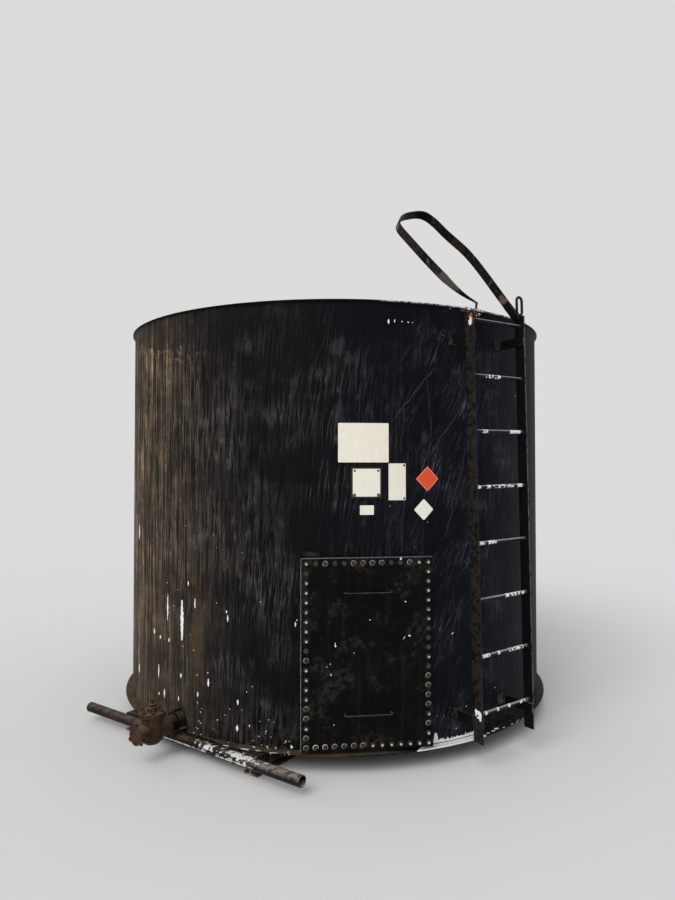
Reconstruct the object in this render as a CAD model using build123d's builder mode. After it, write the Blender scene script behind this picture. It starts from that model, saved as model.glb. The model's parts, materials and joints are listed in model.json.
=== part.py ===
"""Upright cylindrical storage tank, 9 ft 6 in across and 8 ft high, shop-welded from
rolled plate and carried on a low steel skid. Lengths in mm, angles in degrees, +Z up.

The origin is on the ground under the tank's axis. The cleanout door looks along -Y. A place
on the wall is given by its azimuth: 0 at the door, positive to the right of someone who
faces the door from outside.
"""
from build123d import *
from math import asin, atan2, cos, degrees, radians, sin, sqrt, tan
import os

# Tank body
TANK_R = 1448.0          # outside radius of the shell
TANK_H = 2438.0          # underside of the bottom plate to the top of the deck's rim
SHELL_T = 4.8
BOTTOM_T = 6.4
DECK_T = 4.8
CHIME = 45.0             # the bottom plate's lip beyond the shell
RIM = 15.0               # the deck's lip beyond the shell
RIM_SEAT = 26.0          # flat ring of the deck that lies on the shell's top edge
DECK_RISE = 121.0        # height of the cone's centre over the rim
SHEET_COUNT = 4          # rolled sheets round the shell
SEAM_AZ = 30.0           # the seam between the front and the right sheet
FIT = 0.3                # gap where curved or welded pieces meet

# Skid: two I-beam runners, channels between them and a pull bar across each end
SKID_AZ = -43.0          # the way the skid is pulled
BEAM_H = 106.0
BEAM_W = 103.0
BEAM_FLANGE_T = 8.8
BEAM_WEB_T = 7.1
BEAM_SPACING = 1000.0
CROSS_W = 46.0
CROSS_T = 7.0
CROSS_COUNT = 3
CROSS_INSET = 398.0      # the end cross members from the runners' ends
PULL_BAR_R = 30.15
PULL_BAR_WALL = 5.5
PULL_BAR_L = 1760.0
PULL_BAR_DROP = 25.0     # the bar's centre under the bottom plate's underside

# Cleanout: box neck, flange, gasket and bolted cover
DOOR_W = 609.6           # clear opening
DOOR_H = 914.4
DOOR_LIFT = 19.6         # the flange's lower edge over the bottom plate
DOOR_FLANGE_W = 50.8
DOOR_FLANGE_T = 9.5
DOOR_NECK_T = 9.5
DOOR_STAND = 4.0         # the flange's back face beyond the shell's front line
DOOR_REACH_IN = 48.0     # the neck's inner end inside the shell's front line
GASKET_T = 3.2
COVER_T = 9.5
COVER_CORNER_R = 6.0
HANDLE_R = 6.35
HANDLE_W = 254.0
HANDLE_STAND = 42.0
HANDLE_BEND_R = 16.0
HANDLE_FROM_TOP = 182.0  # upper handle under the cover's top edge
HANDLE_FROM_FOOT = 192.0 # lower handle over the cover's lower edge

# Ladder on the right
LADDER_AZ = 28.5
LADDER_SHIFT = -18.0     # the ladder's centre to the right of that azimuth's line
LADDER_STAND = 164.0     # rung centres beyond the shell
LADDER_TILT_OUT = 0.67   # its foot stands further out
LADDER_TILT_SIDE = 0.75  # its foot stands further right
LADDER_INSIDE_W = 406.4
RAIL_D = 63.5
RAIL_T = 9.5
RUNG_R = 9.5
RUNG_COUNT = 8
RUNG_PITCH = 304.8
RUNG_UNDER_RIM = 101.0   # top rung under the deck's rim
RAIL_OVER_LEFT = 40.0    # rail ends beyond the top rung
RAIL_OVER_RIGHT = 60.0
RAIL_UNDER_LEFT = 147.0  # rail ends beyond the bottom rung
RAIL_UNDER_RIGHT = 164.0
BRACKET_H = 50.8
BRACKET_T = 9.5
BRACKET_FOOT_L = 55.0    # the bent end that lies on the wall
BRACKET_UNDER_TOP = 92.0     # upper brackets under the top rung
BRACKET_UNDER_LOWEST = 42.0  # lower brackets under the bottom rung

# Outlet and valve at the lower left
OUTLET_AZ = -45.0
OUTLET_Z = 66.0          # over the bottom plate's underside
NOZZLE_R = 44.45
NOZZLE_WALL = 5.5
NOZZLE_OUT = 96.0        # length outside the shell
NOZZLE_IN = 30.0
UNION_R = 60.0           # lugged ring round the nozzle
UNION_W = 44.0
UNION_FROM_WALL = 10.0
UNION_LUG_COUNT = 3
UNION_LUG_W = 24.0
UNION_LUG_OUT = 13.0
VALVE_OUT = 104.0        # the barrel's axis beyond the nozzle's end
BARREL_R = 58.0
BARREL_UNDER = 68.0      # the barrel's foot under the nozzle's axis
BARREL_OVER = 82.0
BARREL_BEVEL = 18.0
HUB_R = 56.0
PORT_R = 46.0            # outlet port
PORT_OUT = 76.0          # the port's end beyond the barrel's axis
CAP_R = 52.0
CAP_T = 34.0
CAP_GRIP = 10.0          # length of the cap's lugs
CAP_LUG_COUNT = 3
CAP_LUG_W = 22.0
CAP_LUG_OUT = 14.0
BONNET_R = 74.0
BONNET_T = 22.0
GLAND_R = 21.0
GLAND_H = 42.0
STEM_SIDE = 17.0         # square head of the plug's stem
STEM_H = 26.0

# Roof fittings
HATCH_AZ = 28.5
HATCH_FROM_AXIS = 700.0
HATCH_R = 108.0          # outside radius of the neck
HATCH_NECK_T = 6.4
HATCH_H = 74.0           # neck over the deck at the hatch's axis
HATCH_IN = 40.0          # neck under the deck's upper face
HATCH_FLANGE_R = 132.0
HATCH_FLANGE_T = 10.0
LID_R = 128.0
LID_EDGE_T = 10.0
LID_DOME = 18.0
HINGE_OUT = 148.0        # hinge pin from the hatch's axis, towards the roof's centre
HINGE_UP = 9.0           # over the flange's face
HINGE_PIN_R = 5.0
HINGE_PIN_CLEAR = 0.25
KNUCKLE_R = 11.5
KNUCKLE_W = 36.0
HINGE_EAR_T = 9.0
HINGE_EAR_DEPTH = 20.0   # under the flange
HINGE_SIDE_CLEAR = 1.0
LID_CROWN_R = 70.0       # flat middle of the lid
LID_BRIM_W = 16.0        # flat edge of the lid
LID_ARM_LAP = 12.0       # the arm's and the grip's lap on the lid's edge
LID_GRIP_W = 70.0
LID_GRIP_OUT = 26.0
LID_GRIP_T = 8.0
VENT_R = 30.15
VENT_WALL = 4.0
VENT_IN = 20.0           # pipe under the deck's peak
VENT_RISE = 88.0         # straight pipe over the deck's peak
VENT_REACH = 124.0       # between the legs of the mitred gooseneck
VENT_MITRE = 30.0        # slope of its two upper lengths
VENT_DROP = 22.0
COUPLING_AZ = 163.0
COUPLING_FROM_AXIS = 900.0
COUPLING_R = 68.0
COUPLING_BORE_R = 57.4
COUPLING_H = 80.0
COUPLING_IN = 30.0       # length under the deck

# Grab loop of flat steel over the ladder, with its hook, and the ring on the rail
STRAP_AZ = 11.8          # the way the strip's broad side leans
STRAP_LEAN = 27.1
STRAP_W = 58.0
STRAP_T = 5.0
STRAP_REACH = 55.0       # how far its bends leave the line of its taper
STRAP_TIP_W = 12.0
STRAP_TAPER_L = 210.0    # the strip narrows to its tip over this length
STRAP_PATH = [           # right, up: from the top of the ladder's right rail
    (-56.0, 70.0), (-154.0, 320.0), (-240.0, 487.0), (-330.0, 601.0), (-397.0, 697.0),
    (-447.0, 732.0), (-522.0, 722.0), (-606.0, 678.0), (-636.0, 622.0), (-610.0, 548.0),
    (-406.0, 217.0), (-340.0, 138.0), (-278.0, 90.0)]
BUCKLE_L = 90.0
BUCKLE_W = 50.0
BUCKLE_T = 16.0
BUCKLE_PIN_R = 9.0
BUCKLE_PIN_DROP = 12.0   # under the rail's top
BUCKLE_PIN_L = 24.0
HOOK_AZ = 27.5           # the lug on the rim that the hook holds to
HOOK_R = 7.0
HOOK_BEND_R = 10.0
HOOK_REACH = 28.0        # length past the strip's tip before it turns back to the rim
RIM_LUG_H = 6.0
RIM_LUG_T = 16.0
RING_BAR = 14.0          # across the ring's bar
RING_BEVEL = 3.5
RING_W = 58.0
RING_H = 118.0

base_z = BEAM_H
floor_z = base_z + BOTTOM_T
top_z = base_z + TANK_H
shell_top_z = top_z - DECK_T
inner_r = TANK_R - SHELL_T

os.makedirs("parts", exist_ok=True)


def out_dir(azimuth):
    """Unit vector that points out of the wall at an azimuth."""
    return Vector(sin(radians(azimuth)), -cos(radians(azimuth)), 0)


def side_dir(azimuth):
    """Unit vector along the wall, to the right as seen from outside."""
    return Vector(cos(radians(azimuth)), sin(radians(azimuth)), 0)


def wall_plane(azimuth, distance, height=0.0):
    """Plane that faces outwards: its x runs to the right, its y runs up."""
    origin = out_dir(azimuth) * distance + Vector(0, 0, height)
    return Plane(origin=origin, x_dir=side_dir(azimuth), z_dir=out_dir(azimuth))


def level_plane(azimuth, distance, height):
    """Level plane at a place on the wall: its x runs to the right, its y runs inwards."""
    origin = out_dir(azimuth) * distance + Vector(0, 0, height)
    return Plane(origin=origin, x_dir=side_dir(azimuth), z_dir=(0, 0, 1))


def on_circle(radius, azimuth):
    return (radius * sin(radians(azimuth)), -radius * cos(radians(azimuth)))


def save(builder, name):
    builder.part.label = name
    export_step(builder.part, f"parts/{name}.step")


# Bottom plate: a disc with a lip, trimmed straight where the pull bars pass
pull_bar_out = TANK_R + FIT + PULL_BAR_R
trim_at = TANK_R
with BuildPart() as bottom_plate:
    with BuildSketch(Plane.XY.offset(base_z)):
        Circle(TANK_R + CHIME)
        for turn in (0, 180):
            with Locations(level_plane(SKID_AZ + turn, trim_at + CHIME, 0).location):
                Rectangle(2 * TANK_R, 2 * CHIME, mode=Mode.SUBTRACT)
    extrude(amount=BOTTOM_T)
save(bottom_plate, "bottom_plate")

# Shell: rolled sheets butted at upright seams, with the cleanout and outlet cut in
flange_back = TANK_R + DOOR_STAND
neck_w = DOOR_W + 2 * DOOR_NECK_T
neck_h = DOOR_H + 2 * DOOR_NECK_T
flange_w = DOOR_W + 2 * DOOR_FLANGE_W
flange_h = DOOR_H + 2 * DOOR_FLANGE_W
door_z = floor_z + DOOR_LIFT + flange_h / 2
outlet_z = base_z + OUTLET_Z
sheet_angle = 360 / SHEET_COUNT
seam_half = degrees(FIT / 2 / TANK_R)
for index, side in enumerate(("front", "right", "back", "left")):
    middle = SEAM_AZ + (index - 0.5) * sheet_angle
    with BuildPart() as sheet:
        with BuildSketch(Plane.XY.offset(floor_z)):
            start = middle - sheet_angle / 2 + seam_half
            end = middle + sheet_angle / 2 - seam_half
            with BuildLine():
                ThreePointArc(*(on_circle(TANK_R, azimuth) for azimuth in (start, middle, end)))
                Line(on_circle(TANK_R, end), on_circle(inner_r, end))
                ThreePointArc(*(on_circle(inner_r, azimuth) for azimuth in (end, middle, start)))
                Line(on_circle(inner_r, start), on_circle(TANK_R, start))
            make_face()
        extrude(amount=shell_top_z - floor_z)
        if side == "front":
            with BuildSketch(wall_plane(0, 0, door_z)):
                Rectangle(neck_w + 2 * FIT, neck_h + 2 * FIT)
            extrude(amount=2 * TANK_R, mode=Mode.SUBTRACT)
            with BuildSketch(wall_plane(OUTLET_AZ, 0, outlet_z)):
                Circle(NOZZLE_R + FIT)
            extrude(amount=2 * TANK_R, mode=Mode.SUBTRACT)
    save(sheet, f"shell_sheet_{side}")

# Deck: a shallow cone with a flat rim that lies on the shell's top edge
cone_r = TANK_R + RIM - RIM_SEAT
hatch_at = out_dir(HATCH_AZ) * HATCH_FROM_AXIS
coupling_at = out_dir(COUPLING_AZ) * COUPLING_FROM_AXIS


def deck_top(distance):
    """Height of the deck's upper face at a distance from the axis."""
    return top_z + DECK_RISE * min(1, (cone_r - distance) / cone_r)


with BuildPart() as roof_deck:
    with BuildSketch(Plane.XZ):
        with BuildLine():
            Polyline((0, shell_top_z + DECK_RISE), (cone_r, shell_top_z),
                     (TANK_R + RIM, shell_top_z), (TANK_R + RIM, top_z),
                     (cone_r, top_z), (0, top_z + DECK_RISE), close=True)
        make_face()
    revolve(axis=Axis.Z)
    with BuildSketch(Plane.XY.offset(base_z)):
        Circle(VENT_R + FIT)
        with Locations((hatch_at.X, hatch_at.Y)):
            Circle(HATCH_R + FIT)
        with Locations((coupling_at.X, coupling_at.Y)):
            Circle(COUPLING_R + FIT)
    extrude(amount=2 * TANK_H, mode=Mode.SUBTRACT)
save(roof_deck, "roof_deck")

# Cleanout neck and flange, one weldment
with BuildPart() as cleanout_neck:
    with BuildSketch(wall_plane(0, TANK_R - DOOR_REACH_IN, door_z)):
        Rectangle(neck_w, neck_h)
    extrude(amount=DOOR_REACH_IN + DOOR_STAND)
    with BuildSketch(wall_plane(0, flange_back, door_z)):
        Rectangle(flange_w, flange_h)
    extrude(amount=DOOR_FLANGE_T)
    with BuildSketch(wall_plane(0, TANK_R - DOOR_REACH_IN, door_z)):
        Rectangle(DOOR_W, DOOR_H)
    extrude(amount=DOOR_REACH_IN + DOOR_STAND + DOOR_FLANGE_T, mode=Mode.SUBTRACT)
save(cleanout_neck, "cleanout_neck")

gasket_back = flange_back + DOOR_FLANGE_T
with BuildPart() as cleanout_gasket:
    with BuildSketch(wall_plane(0, gasket_back, door_z)):
        Rectangle(flange_w, flange_h)
        Rectangle(DOOR_W, DOOR_H, mode=Mode.SUBTRACT)
    extrude(amount=GASKET_T)
save(cleanout_gasket, "cleanout_gasket")

cover_back = gasket_back + GASKET_T
cover_face = cover_back + COVER_T
with BuildPart() as cleanout_cover:
    with BuildSketch(wall_plane(0, cover_back, door_z)):
        RectangleRounded(flange_w, flange_h, COVER_CORNER_R)
    extrude(amount=COVER_T)
save(cleanout_cover, "cleanout_cover")

handle_heights = {"upper": door_z + flange_h / 2 - HANDLE_FROM_TOP,
                  "lower": door_z - flange_h / 2 + HANDLE_FROM_FOOT}
for which, handle_z in handle_heights.items():
    with BuildPart() as handle:
        with BuildLine(Plane(origin=(0, -cover_face, handle_z), x_dir=(1, 0, 0), z_dir=(0, 0, 1))):
            FilletPolyline((-HANDLE_W / 2, 0), (-HANDLE_W / 2, -HANDLE_STAND),
                           (HANDLE_W / 2, -HANDLE_STAND), (HANDLE_W / 2, 0), radius=HANDLE_BEND_R)
        with BuildSketch(wall_plane(0, cover_face, handle_z)):
            with Locations((-HANDLE_W / 2, 0)):
                Circle(HANDLE_R)
        sweep()
    save(handle, f"cleanout_handle_{which}")

# Ladder: flat-bar rails, rungs through them, flat-bar brackets to the wall
rung_top_z = top_z - RUNG_UNDER_RIM
ladder_span = RUNG_PITCH * (RUNG_COUNT - 1)
ladder_out = out_dir(LADDER_AZ)
ladder_side = side_dir(LADDER_AZ)
ladder_middle = ladder_out * (TANK_R + LADDER_STAND) + ladder_side * LADDER_SHIFT
ladder_middle += Vector(0, 0, rung_top_z - ladder_span / 2)
upright = Vector(0, 0, 1)
ladder_up = upright - ladder_out * sin(radians(LADDER_TILT_OUT))
ladder_up = (ladder_up - ladder_side * sin(radians(LADDER_TILT_SIDE))).normalized()
ladder_across = (ladder_side - ladder_up * ladder_side.dot(ladder_up)).normalized()
ladder_face = ladder_across.cross(ladder_up)
ladder_plane = Plane(origin=ladder_middle, x_dir=ladder_across, z_dir=ladder_face)
rung_heights = [ladder_span / 2 - RUNG_PITCH * step for step in range(RUNG_COUNT)]

for side, sign, over, under in (("left", -1, RAIL_OVER_LEFT, RAIL_UNDER_LEFT),
                                ("right", 1, RAIL_OVER_RIGHT, RAIL_UNDER_RIGHT)):
    rail_top = rung_heights[0] + over
    rail_bottom = rung_heights[-1] - under
    rail_at = sign * (LADDER_INSIDE_W + RAIL_T) / 2
    with BuildPart() as rail:
        with BuildSketch(ladder_plane.offset(-RAIL_D / 2)):
            with Locations((rail_at, (rail_top + rail_bottom) / 2)):
                Rectangle(RAIL_T, rail_top - rail_bottom)
        extrude(amount=RAIL_D)
        across = Plane(origin=ladder_middle, x_dir=ladder_face, z_dir=ladder_across)
        with BuildSketch(across.offset(rail_at - RAIL_T)):
            with Locations([(0, height) for height in rung_heights]):
                Circle(RUNG_R + FIT)
        extrude(amount=2 * RAIL_T, mode=Mode.SUBTRACT)
    save(rail, f"ladder_rail_{side}")

rung_half = LADDER_INSIDE_W / 2 + RAIL_T
for number, height in enumerate(rung_heights, start=1):
    with BuildPart() as rung:
        start = ladder_middle + ladder_up * height - ladder_across * rung_half
        with BuildSketch(Plane(origin=start, x_dir=ladder_face, z_dir=ladder_across)):
            Circle(RUNG_R)
        extrude(amount=2 * rung_half)
    save(rung, f"ladder_rung_{number}")

for level, height in (("upper", rung_heights[0] - BRACKET_UNDER_TOP),
                      ("lower", rung_heights[-1] - BRACKET_UNDER_LOWEST)):
    for side, sign in (("left", -1), ("right", 1)):
        place = ladder_middle + ladder_up * height
        place += ladder_across * sign * (LADDER_INSIDE_W - BRACKET_T) / 2
        aside = place.dot(ladder_side)
        wall_here = sqrt(TANK_R ** 2 - (abs(aside) - BRACKET_T) ** 2)
        reach = place.dot(ladder_out) - wall_here
        foot_aside = aside - sign * (BRACKET_FOOT_L - BRACKET_T) / 2
        foot_az = LADDER_AZ + degrees(asin(foot_aside / TANK_R))
        with BuildPart() as bracket:
            section = Plane(origin=place + ladder_face * RAIL_D / 2, x_dir=ladder_across,
                            z_dir=-ladder_face)
            with BuildSketch(section):
                Rectangle(BRACKET_T, BRACKET_H)
            extrude(amount=reach + RAIL_D / 2 - FIT)
            with BuildSketch(wall_plane(foot_az, TANK_R + FIT, place.Z)):
                Rectangle(BRACKET_FOOT_L, BRACKET_H)
            extrude(amount=BRACKET_T)
        save(bracket, f"ladder_bracket_{level}_{side}")

# Outlet nozzle through the shell
with BuildPart() as outlet_nozzle:
    with BuildSketch(wall_plane(OUTLET_AZ, TANK_R - NOZZLE_IN, outlet_z)):
        Circle(NOZZLE_R)
        Circle(NOZZLE_R - NOZZLE_WALL, mode=Mode.SUBTRACT)
    extrude(amount=NOZZLE_IN + NOZZLE_OUT)
save(outlet_nozzle, "outlet_nozzle")

with BuildPart() as outlet_union:
    with BuildSketch(wall_plane(OUTLET_AZ, TANK_R + UNION_FROM_WALL, outlet_z)):
        Circle(UNION_R)
        with PolarLocations(UNION_R, UNION_LUG_COUNT, start_angle=90):
            Rectangle(2 * UNION_LUG_OUT, UNION_LUG_W)
        Circle(NOZZLE_R + FIT, mode=Mode.SUBTRACT)
    extrude(amount=UNION_W)
save(outlet_union, "outlet_union")

# Hatch neck, flange and hinged lid
hatch_foot_z = deck_top(HATCH_FROM_AXIS) - HATCH_IN
hatch_top_z = deck_top(HATCH_FROM_AXIS) + HATCH_H
with BuildPart() as hatch_neck:
    with BuildSketch(Plane.XY.offset(hatch_foot_z)):
        with Locations((hatch_at.X, hatch_at.Y)):
            Circle(HATCH_R)
    extrude(amount=hatch_top_z - hatch_foot_z)
    with BuildSketch(Plane.XY.offset(hatch_top_z - HATCH_FLANGE_T)):
        with Locations((hatch_at.X, hatch_at.Y)):
            Circle(HATCH_FLANGE_R)
    extrude(amount=HATCH_FLANGE_T)
    with BuildSketch(Plane.XY.offset(hatch_foot_z)):
        with Locations((hatch_at.X, hatch_at.Y)):
            Circle(HATCH_R - HATCH_NECK_T)
    extrude(amount=hatch_top_z - hatch_foot_z, mode=Mode.SUBTRACT)
save(hatch_neck, "hatch_neck")

# Skid
skid_out = out_dir(SKID_AZ)
skid_side = side_dir(SKID_AZ)
runner_half = TANK_R
for side, sign in (("left", -1), ("right", 1)):
    with BuildPart() as runner:
        section = wall_plane(SKID_AZ, -runner_half)
        with BuildSketch(section):
            with Locations((sign * BEAM_SPACING / 2, BEAM_H / 2)):
                Rectangle(BEAM_W, BEAM_H)
            for way in (-1, 1):
                web_side = sign * BEAM_SPACING / 2 + way * (BEAM_W + BEAM_WEB_T) / 4
                with Locations((web_side, BEAM_H / 2)):
                    Rectangle((BEAM_W - BEAM_WEB_T) / 2, BEAM_H - 2 * BEAM_FLANGE_T,
                              mode=Mode.SUBTRACT)
        extrude(amount=2 * runner_half)
    save(runner, f"skid_runner_{side}")

cross_pitch = 2 * (runner_half - CROSS_INSET) / (CROSS_COUNT - 1)
for index in range(CROSS_COUNT):
    along = (index - (CROSS_COUNT - 1) / 2) * cross_pitch
    with BuildPart() as cross:
        origin = skid_out * along - skid_side * (BEAM_SPACING - BEAM_W) / 2
        with BuildSketch(Plane(origin=origin, x_dir=-skid_out, z_dir=skid_side)):
            with Locations((0, BEAM_H / 2)):
                Rectangle(CROSS_W, BEAM_H)
            with Locations((CROSS_T, BEAM_H / 2)):
                Rectangle(CROSS_W, BEAM_H - 2 * CROSS_T, mode=Mode.SUBTRACT)
        extrude(amount=BEAM_SPACING - BEAM_W)
    save(cross, f"skid_cross_member_{index + 1}")

for end, turn in (("front", 0), ("rear", 180)):
    with BuildPart() as pull_bar:
        origin = out_dir(SKID_AZ + turn) * pull_bar_out
        origin += Vector(0, 0, base_z - PULL_BAR_DROP) - skid_side * PULL_BAR_L / 2
        with BuildSketch(Plane(origin=origin, x_dir=(0, 0, 1), z_dir=skid_side)):
            Circle(PULL_BAR_R)
            Circle(PULL_BAR_R - PULL_BAR_WALL, mode=Mode.SUBTRACT)
        extrude(amount=PULL_BAR_L)
    save(pull_bar, f"pull_bar_{end}")

# Plug valve on the outlet: barrel with its hub and port, lugged cap, bonnet, gland and stem
nozzle_end = TANK_R + NOZZLE_OUT
barrel_out = nozzle_end + VALVE_OUT
barrel_at = out_dir(OUTLET_AZ) * barrel_out
barrel_foot = outlet_z - BARREL_UNDER
barrel_top = outlet_z + BARREL_OVER
port_end = barrel_out + PORT_OUT
with BuildPart() as valve_body:
    with BuildSketch(Plane(origin=barrel_at, x_dir=side_dir(OUTLET_AZ), z_dir=out_dir(OUTLET_AZ))):
        with BuildLine():
            Polyline((0, barrel_top), (0, barrel_foot), (BARREL_R - BARREL_BEVEL, barrel_foot),
                     (BARREL_R, barrel_foot + BARREL_BEVEL), (BARREL_R, barrel_top),
                     (0, barrel_top))
        make_face()
    revolve(axis=Axis(origin=barrel_at, direction=(0, 0, 1)))
    with BuildSketch(wall_plane(OUTLET_AZ, nozzle_end, outlet_z)):
        Circle(HUB_R)
    extrude(amount=VALVE_OUT)
    with BuildSketch(wall_plane(OUTLET_AZ, barrel_out, outlet_z)):
        Circle(PORT_R)
    extrude(amount=PORT_OUT)
save(valve_body, "valve_body")

with BuildPart() as outlet_cap:
    with BuildSketch(wall_plane(OUTLET_AZ, port_end, outlet_z)):
        Circle(CAP_R)
    extrude(amount=CAP_T)
    with BuildSketch(wall_plane(OUTLET_AZ, port_end + CAP_T - CAP_GRIP, outlet_z)):
        with PolarLocations(CAP_R, CAP_LUG_COUNT, start_angle=90):
            Rectangle(2 * CAP_LUG_OUT, CAP_LUG_W)
    extrude(amount=CAP_GRIP)
save(outlet_cap, "outlet_cap")

with BuildPart() as valve_bonnet:
    with BuildSketch(Plane.XY.offset(barrel_top)):
        with Locations((barrel_at.X, barrel_at.Y)):
            Circle(BONNET_R)
    extrude(amount=BONNET_T)
    with BuildSketch(Plane.XY.offset(barrel_top + BONNET_T)):
        with Locations((barrel_at.X, barrel_at.Y)):
            Circle(GLAND_R)
    extrude(amount=GLAND_H)
save(valve_bonnet, "valve_bonnet")

gland_top = barrel_top + BONNET_T + GLAND_H
with BuildPart() as valve_stem:
    with BuildSketch(level_plane(OUTLET_AZ, barrel_out, gland_top)):
        Rectangle(STEM_SIDE, STEM_SIDE)
    extrude(amount=STEM_H)
save(valve_stem, "valve_stem")

# Hatch hinge and lid: upright sections seen from the hinge's left, x towards the roof's centre
hatch_out = out_dir(HATCH_AZ)
hatch_side = side_dir(HATCH_AZ)
ear_inside = KNUCKLE_W / 2 + HINGE_SIDE_CLEAR
ear_outside = ear_inside + HINGE_EAR_T
hatch_head = hatch_at + Vector(0, 0, hatch_top_z)


def hinge_plane(sideways):
    """Upright plane across the hinge, with its centre at the middle of the hatch's face."""
    return Plane(origin=hatch_head + hatch_side * sideways, x_dir=-hatch_out, z_dir=hatch_side)


for side, sideways in (("left", -ear_outside), ("right", ear_inside)):
    with BuildPart() as hinge_ear:
        with BuildSketch(hinge_plane(sideways)):
            ear_foot = HATCH_FLANGE_T + HINGE_EAR_DEPTH
            with Locations((HINGE_OUT, HINGE_UP)):
                Circle(KNUCKLE_R)
            with Locations((HINGE_OUT, (HINGE_UP - ear_foot) / 2)):
                Rectangle(2 * KNUCKLE_R, HINGE_UP + ear_foot)
            with Locations(((HATCH_R + FIT + HINGE_OUT) / 2, -ear_foot + HINGE_EAR_DEPTH / 2)):
                Rectangle(HINGE_OUT - HATCH_R - FIT, HINGE_EAR_DEPTH)
            with Locations((HINGE_OUT, HINGE_UP)):
                Circle(HINGE_PIN_R + HINGE_PIN_CLEAR, mode=Mode.SUBTRACT)
        extrude(amount=HINGE_EAR_T)
    save(hinge_ear, f"hatch_hinge_ear_{side}")

with BuildPart() as hinge_pin:
    with BuildSketch(hinge_plane(-ear_outside)):
        with Locations((HINGE_OUT, HINGE_UP)):
            Circle(HINGE_PIN_R)
    extrude(amount=2 * ear_outside)
save(hinge_pin, "hatch_hinge_pin")

with BuildPart() as hatch_lid:
    with BuildSketch(hinge_plane(0)):
        crown = FIT + LID_EDGE_T + LID_DOME
        with BuildLine():
            Polyline((0, crown), (0, FIT), (LID_R, FIT), (LID_R, FIT + LID_EDGE_T),
                     (LID_R - LID_BRIM_W, FIT + LID_EDGE_T), (LID_CROWN_R, crown), (0, crown))
        make_face()
    revolve(axis=Axis(origin=hatch_head, direction=(0, 0, 1)))
    with BuildSketch(hinge_plane(-KNUCKLE_W / 2)):
        with Locations((HINGE_OUT, HINGE_UP)):
            Circle(KNUCKLE_R)
        with Locations(((LID_R - LID_ARM_LAP + HINGE_OUT) / 2, FIT + LID_EDGE_T / 2)):
            Rectangle(HINGE_OUT - LID_R + LID_ARM_LAP, LID_EDGE_T)
    extrude(amount=KNUCKLE_W)
    with BuildSketch(hinge_plane(-LID_GRIP_W / 2)):
        with Locations((-LID_R - LID_GRIP_OUT / 2 + LID_ARM_LAP / 2, FIT + LID_GRIP_T / 2)):
            Rectangle(LID_GRIP_OUT + LID_ARM_LAP, LID_GRIP_T)
    extrude(amount=LID_GRIP_W)
    with BuildSketch(hinge_plane(-KNUCKLE_W)):
        with Locations((HINGE_OUT, HINGE_UP)):
            Circle(HINGE_PIN_R + HINGE_PIN_CLEAR)
    extrude(amount=2 * KNUCKLE_W, mode=Mode.SUBTRACT)
save(hatch_lid, "hatch_lid")

# Vent: a gooseneck on the deck's peak
with BuildPart() as roof_vent:
    vent_foot = shell_top_z + DECK_RISE - VENT_IN
    bend_z = top_z + DECK_RISE + VENT_RISE
    with BuildLine(Plane.XZ):
        mitre_rise = VENT_REACH / 2 * tan(radians(VENT_MITRE))
        Polyline((0, vent_foot), (0, bend_z), (VENT_REACH / 2, bend_z + mitre_rise),
                 (VENT_REACH, bend_z), (VENT_REACH, bend_z - VENT_DROP))
    with BuildSketch(Plane.XY.offset(vent_foot)):
        Circle(VENT_R)
        Circle(VENT_R - VENT_WALL, mode=Mode.SUBTRACT)
    sweep(transition=Transition.RIGHT)
save(roof_vent, "roof_vent")

with BuildPart() as fill_coupling:
    with BuildSketch(Plane.XY.offset(deck_top(COUPLING_FROM_AXIS) - DECK_T - COUPLING_IN)):
        with Locations((coupling_at.X, coupling_at.Y)):
            Circle(COUPLING_R)
            Circle(COUPLING_BORE_R, mode=Mode.SUBTRACT)
    extrude(amount=COUPLING_H)
save(fill_coupling, "fill_coupling")

# Grab loop: a flat strip bent in its own leaning plane, held by a buckle and a hook
strap_out = out_dir(STRAP_AZ) * cos(radians(STRAP_LEAN)) + Vector(0, 0, sin(radians(STRAP_LEAN)))
rail_tip = ladder_middle + ladder_across * (LADDER_INSIDE_W / 2)
rail_tip += ladder_up * (rung_heights[0] + RAIL_OVER_RIGHT)
strap_plane = Plane(origin=rail_tip, x_dir=side_dir(STRAP_AZ), z_dir=strap_out)
strap_end = Vector(*STRAP_PATH[-1])
taper_way = (Vector(*STRAP_PATH[-4]) - strap_end).normalized()
along_strap = strap_plane.x_dir * taper_way.X + strap_plane.y_dir * taper_way.Y
off_strap = strap_plane.y_dir * taper_way.X - strap_plane.x_dir * taper_way.Y
taper_plane = Plane(origin=strap_plane.from_local_coords(strap_end), x_dir=along_strap,
                    z_dir=off_strap)
with BuildPart() as grab_loop:
    with BuildSketch(strap_plane.offset(-STRAP_W / 2)):
        with BuildLine():
            Spline(*STRAP_PATH)
        trace(line_width=STRAP_T)
    extrude(amount=STRAP_W)
    with BuildSketch(taper_plane):
        for way in (-1, 1):
            with BuildLine():
                Polyline((-STRAP_W, way * STRAP_TIP_W / 2), (0, way * STRAP_TIP_W / 2),
                         (STRAP_TAPER_L, way * STRAP_W / 2), (STRAP_TAPER_L, way * STRAP_W),
                         (-STRAP_W, way * STRAP_W), close=True)
            make_face()
    extrude(amount=STRAP_REACH, both=True, mode=Mode.SUBTRACT)
save(grab_loop, "grab_loop")

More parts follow.
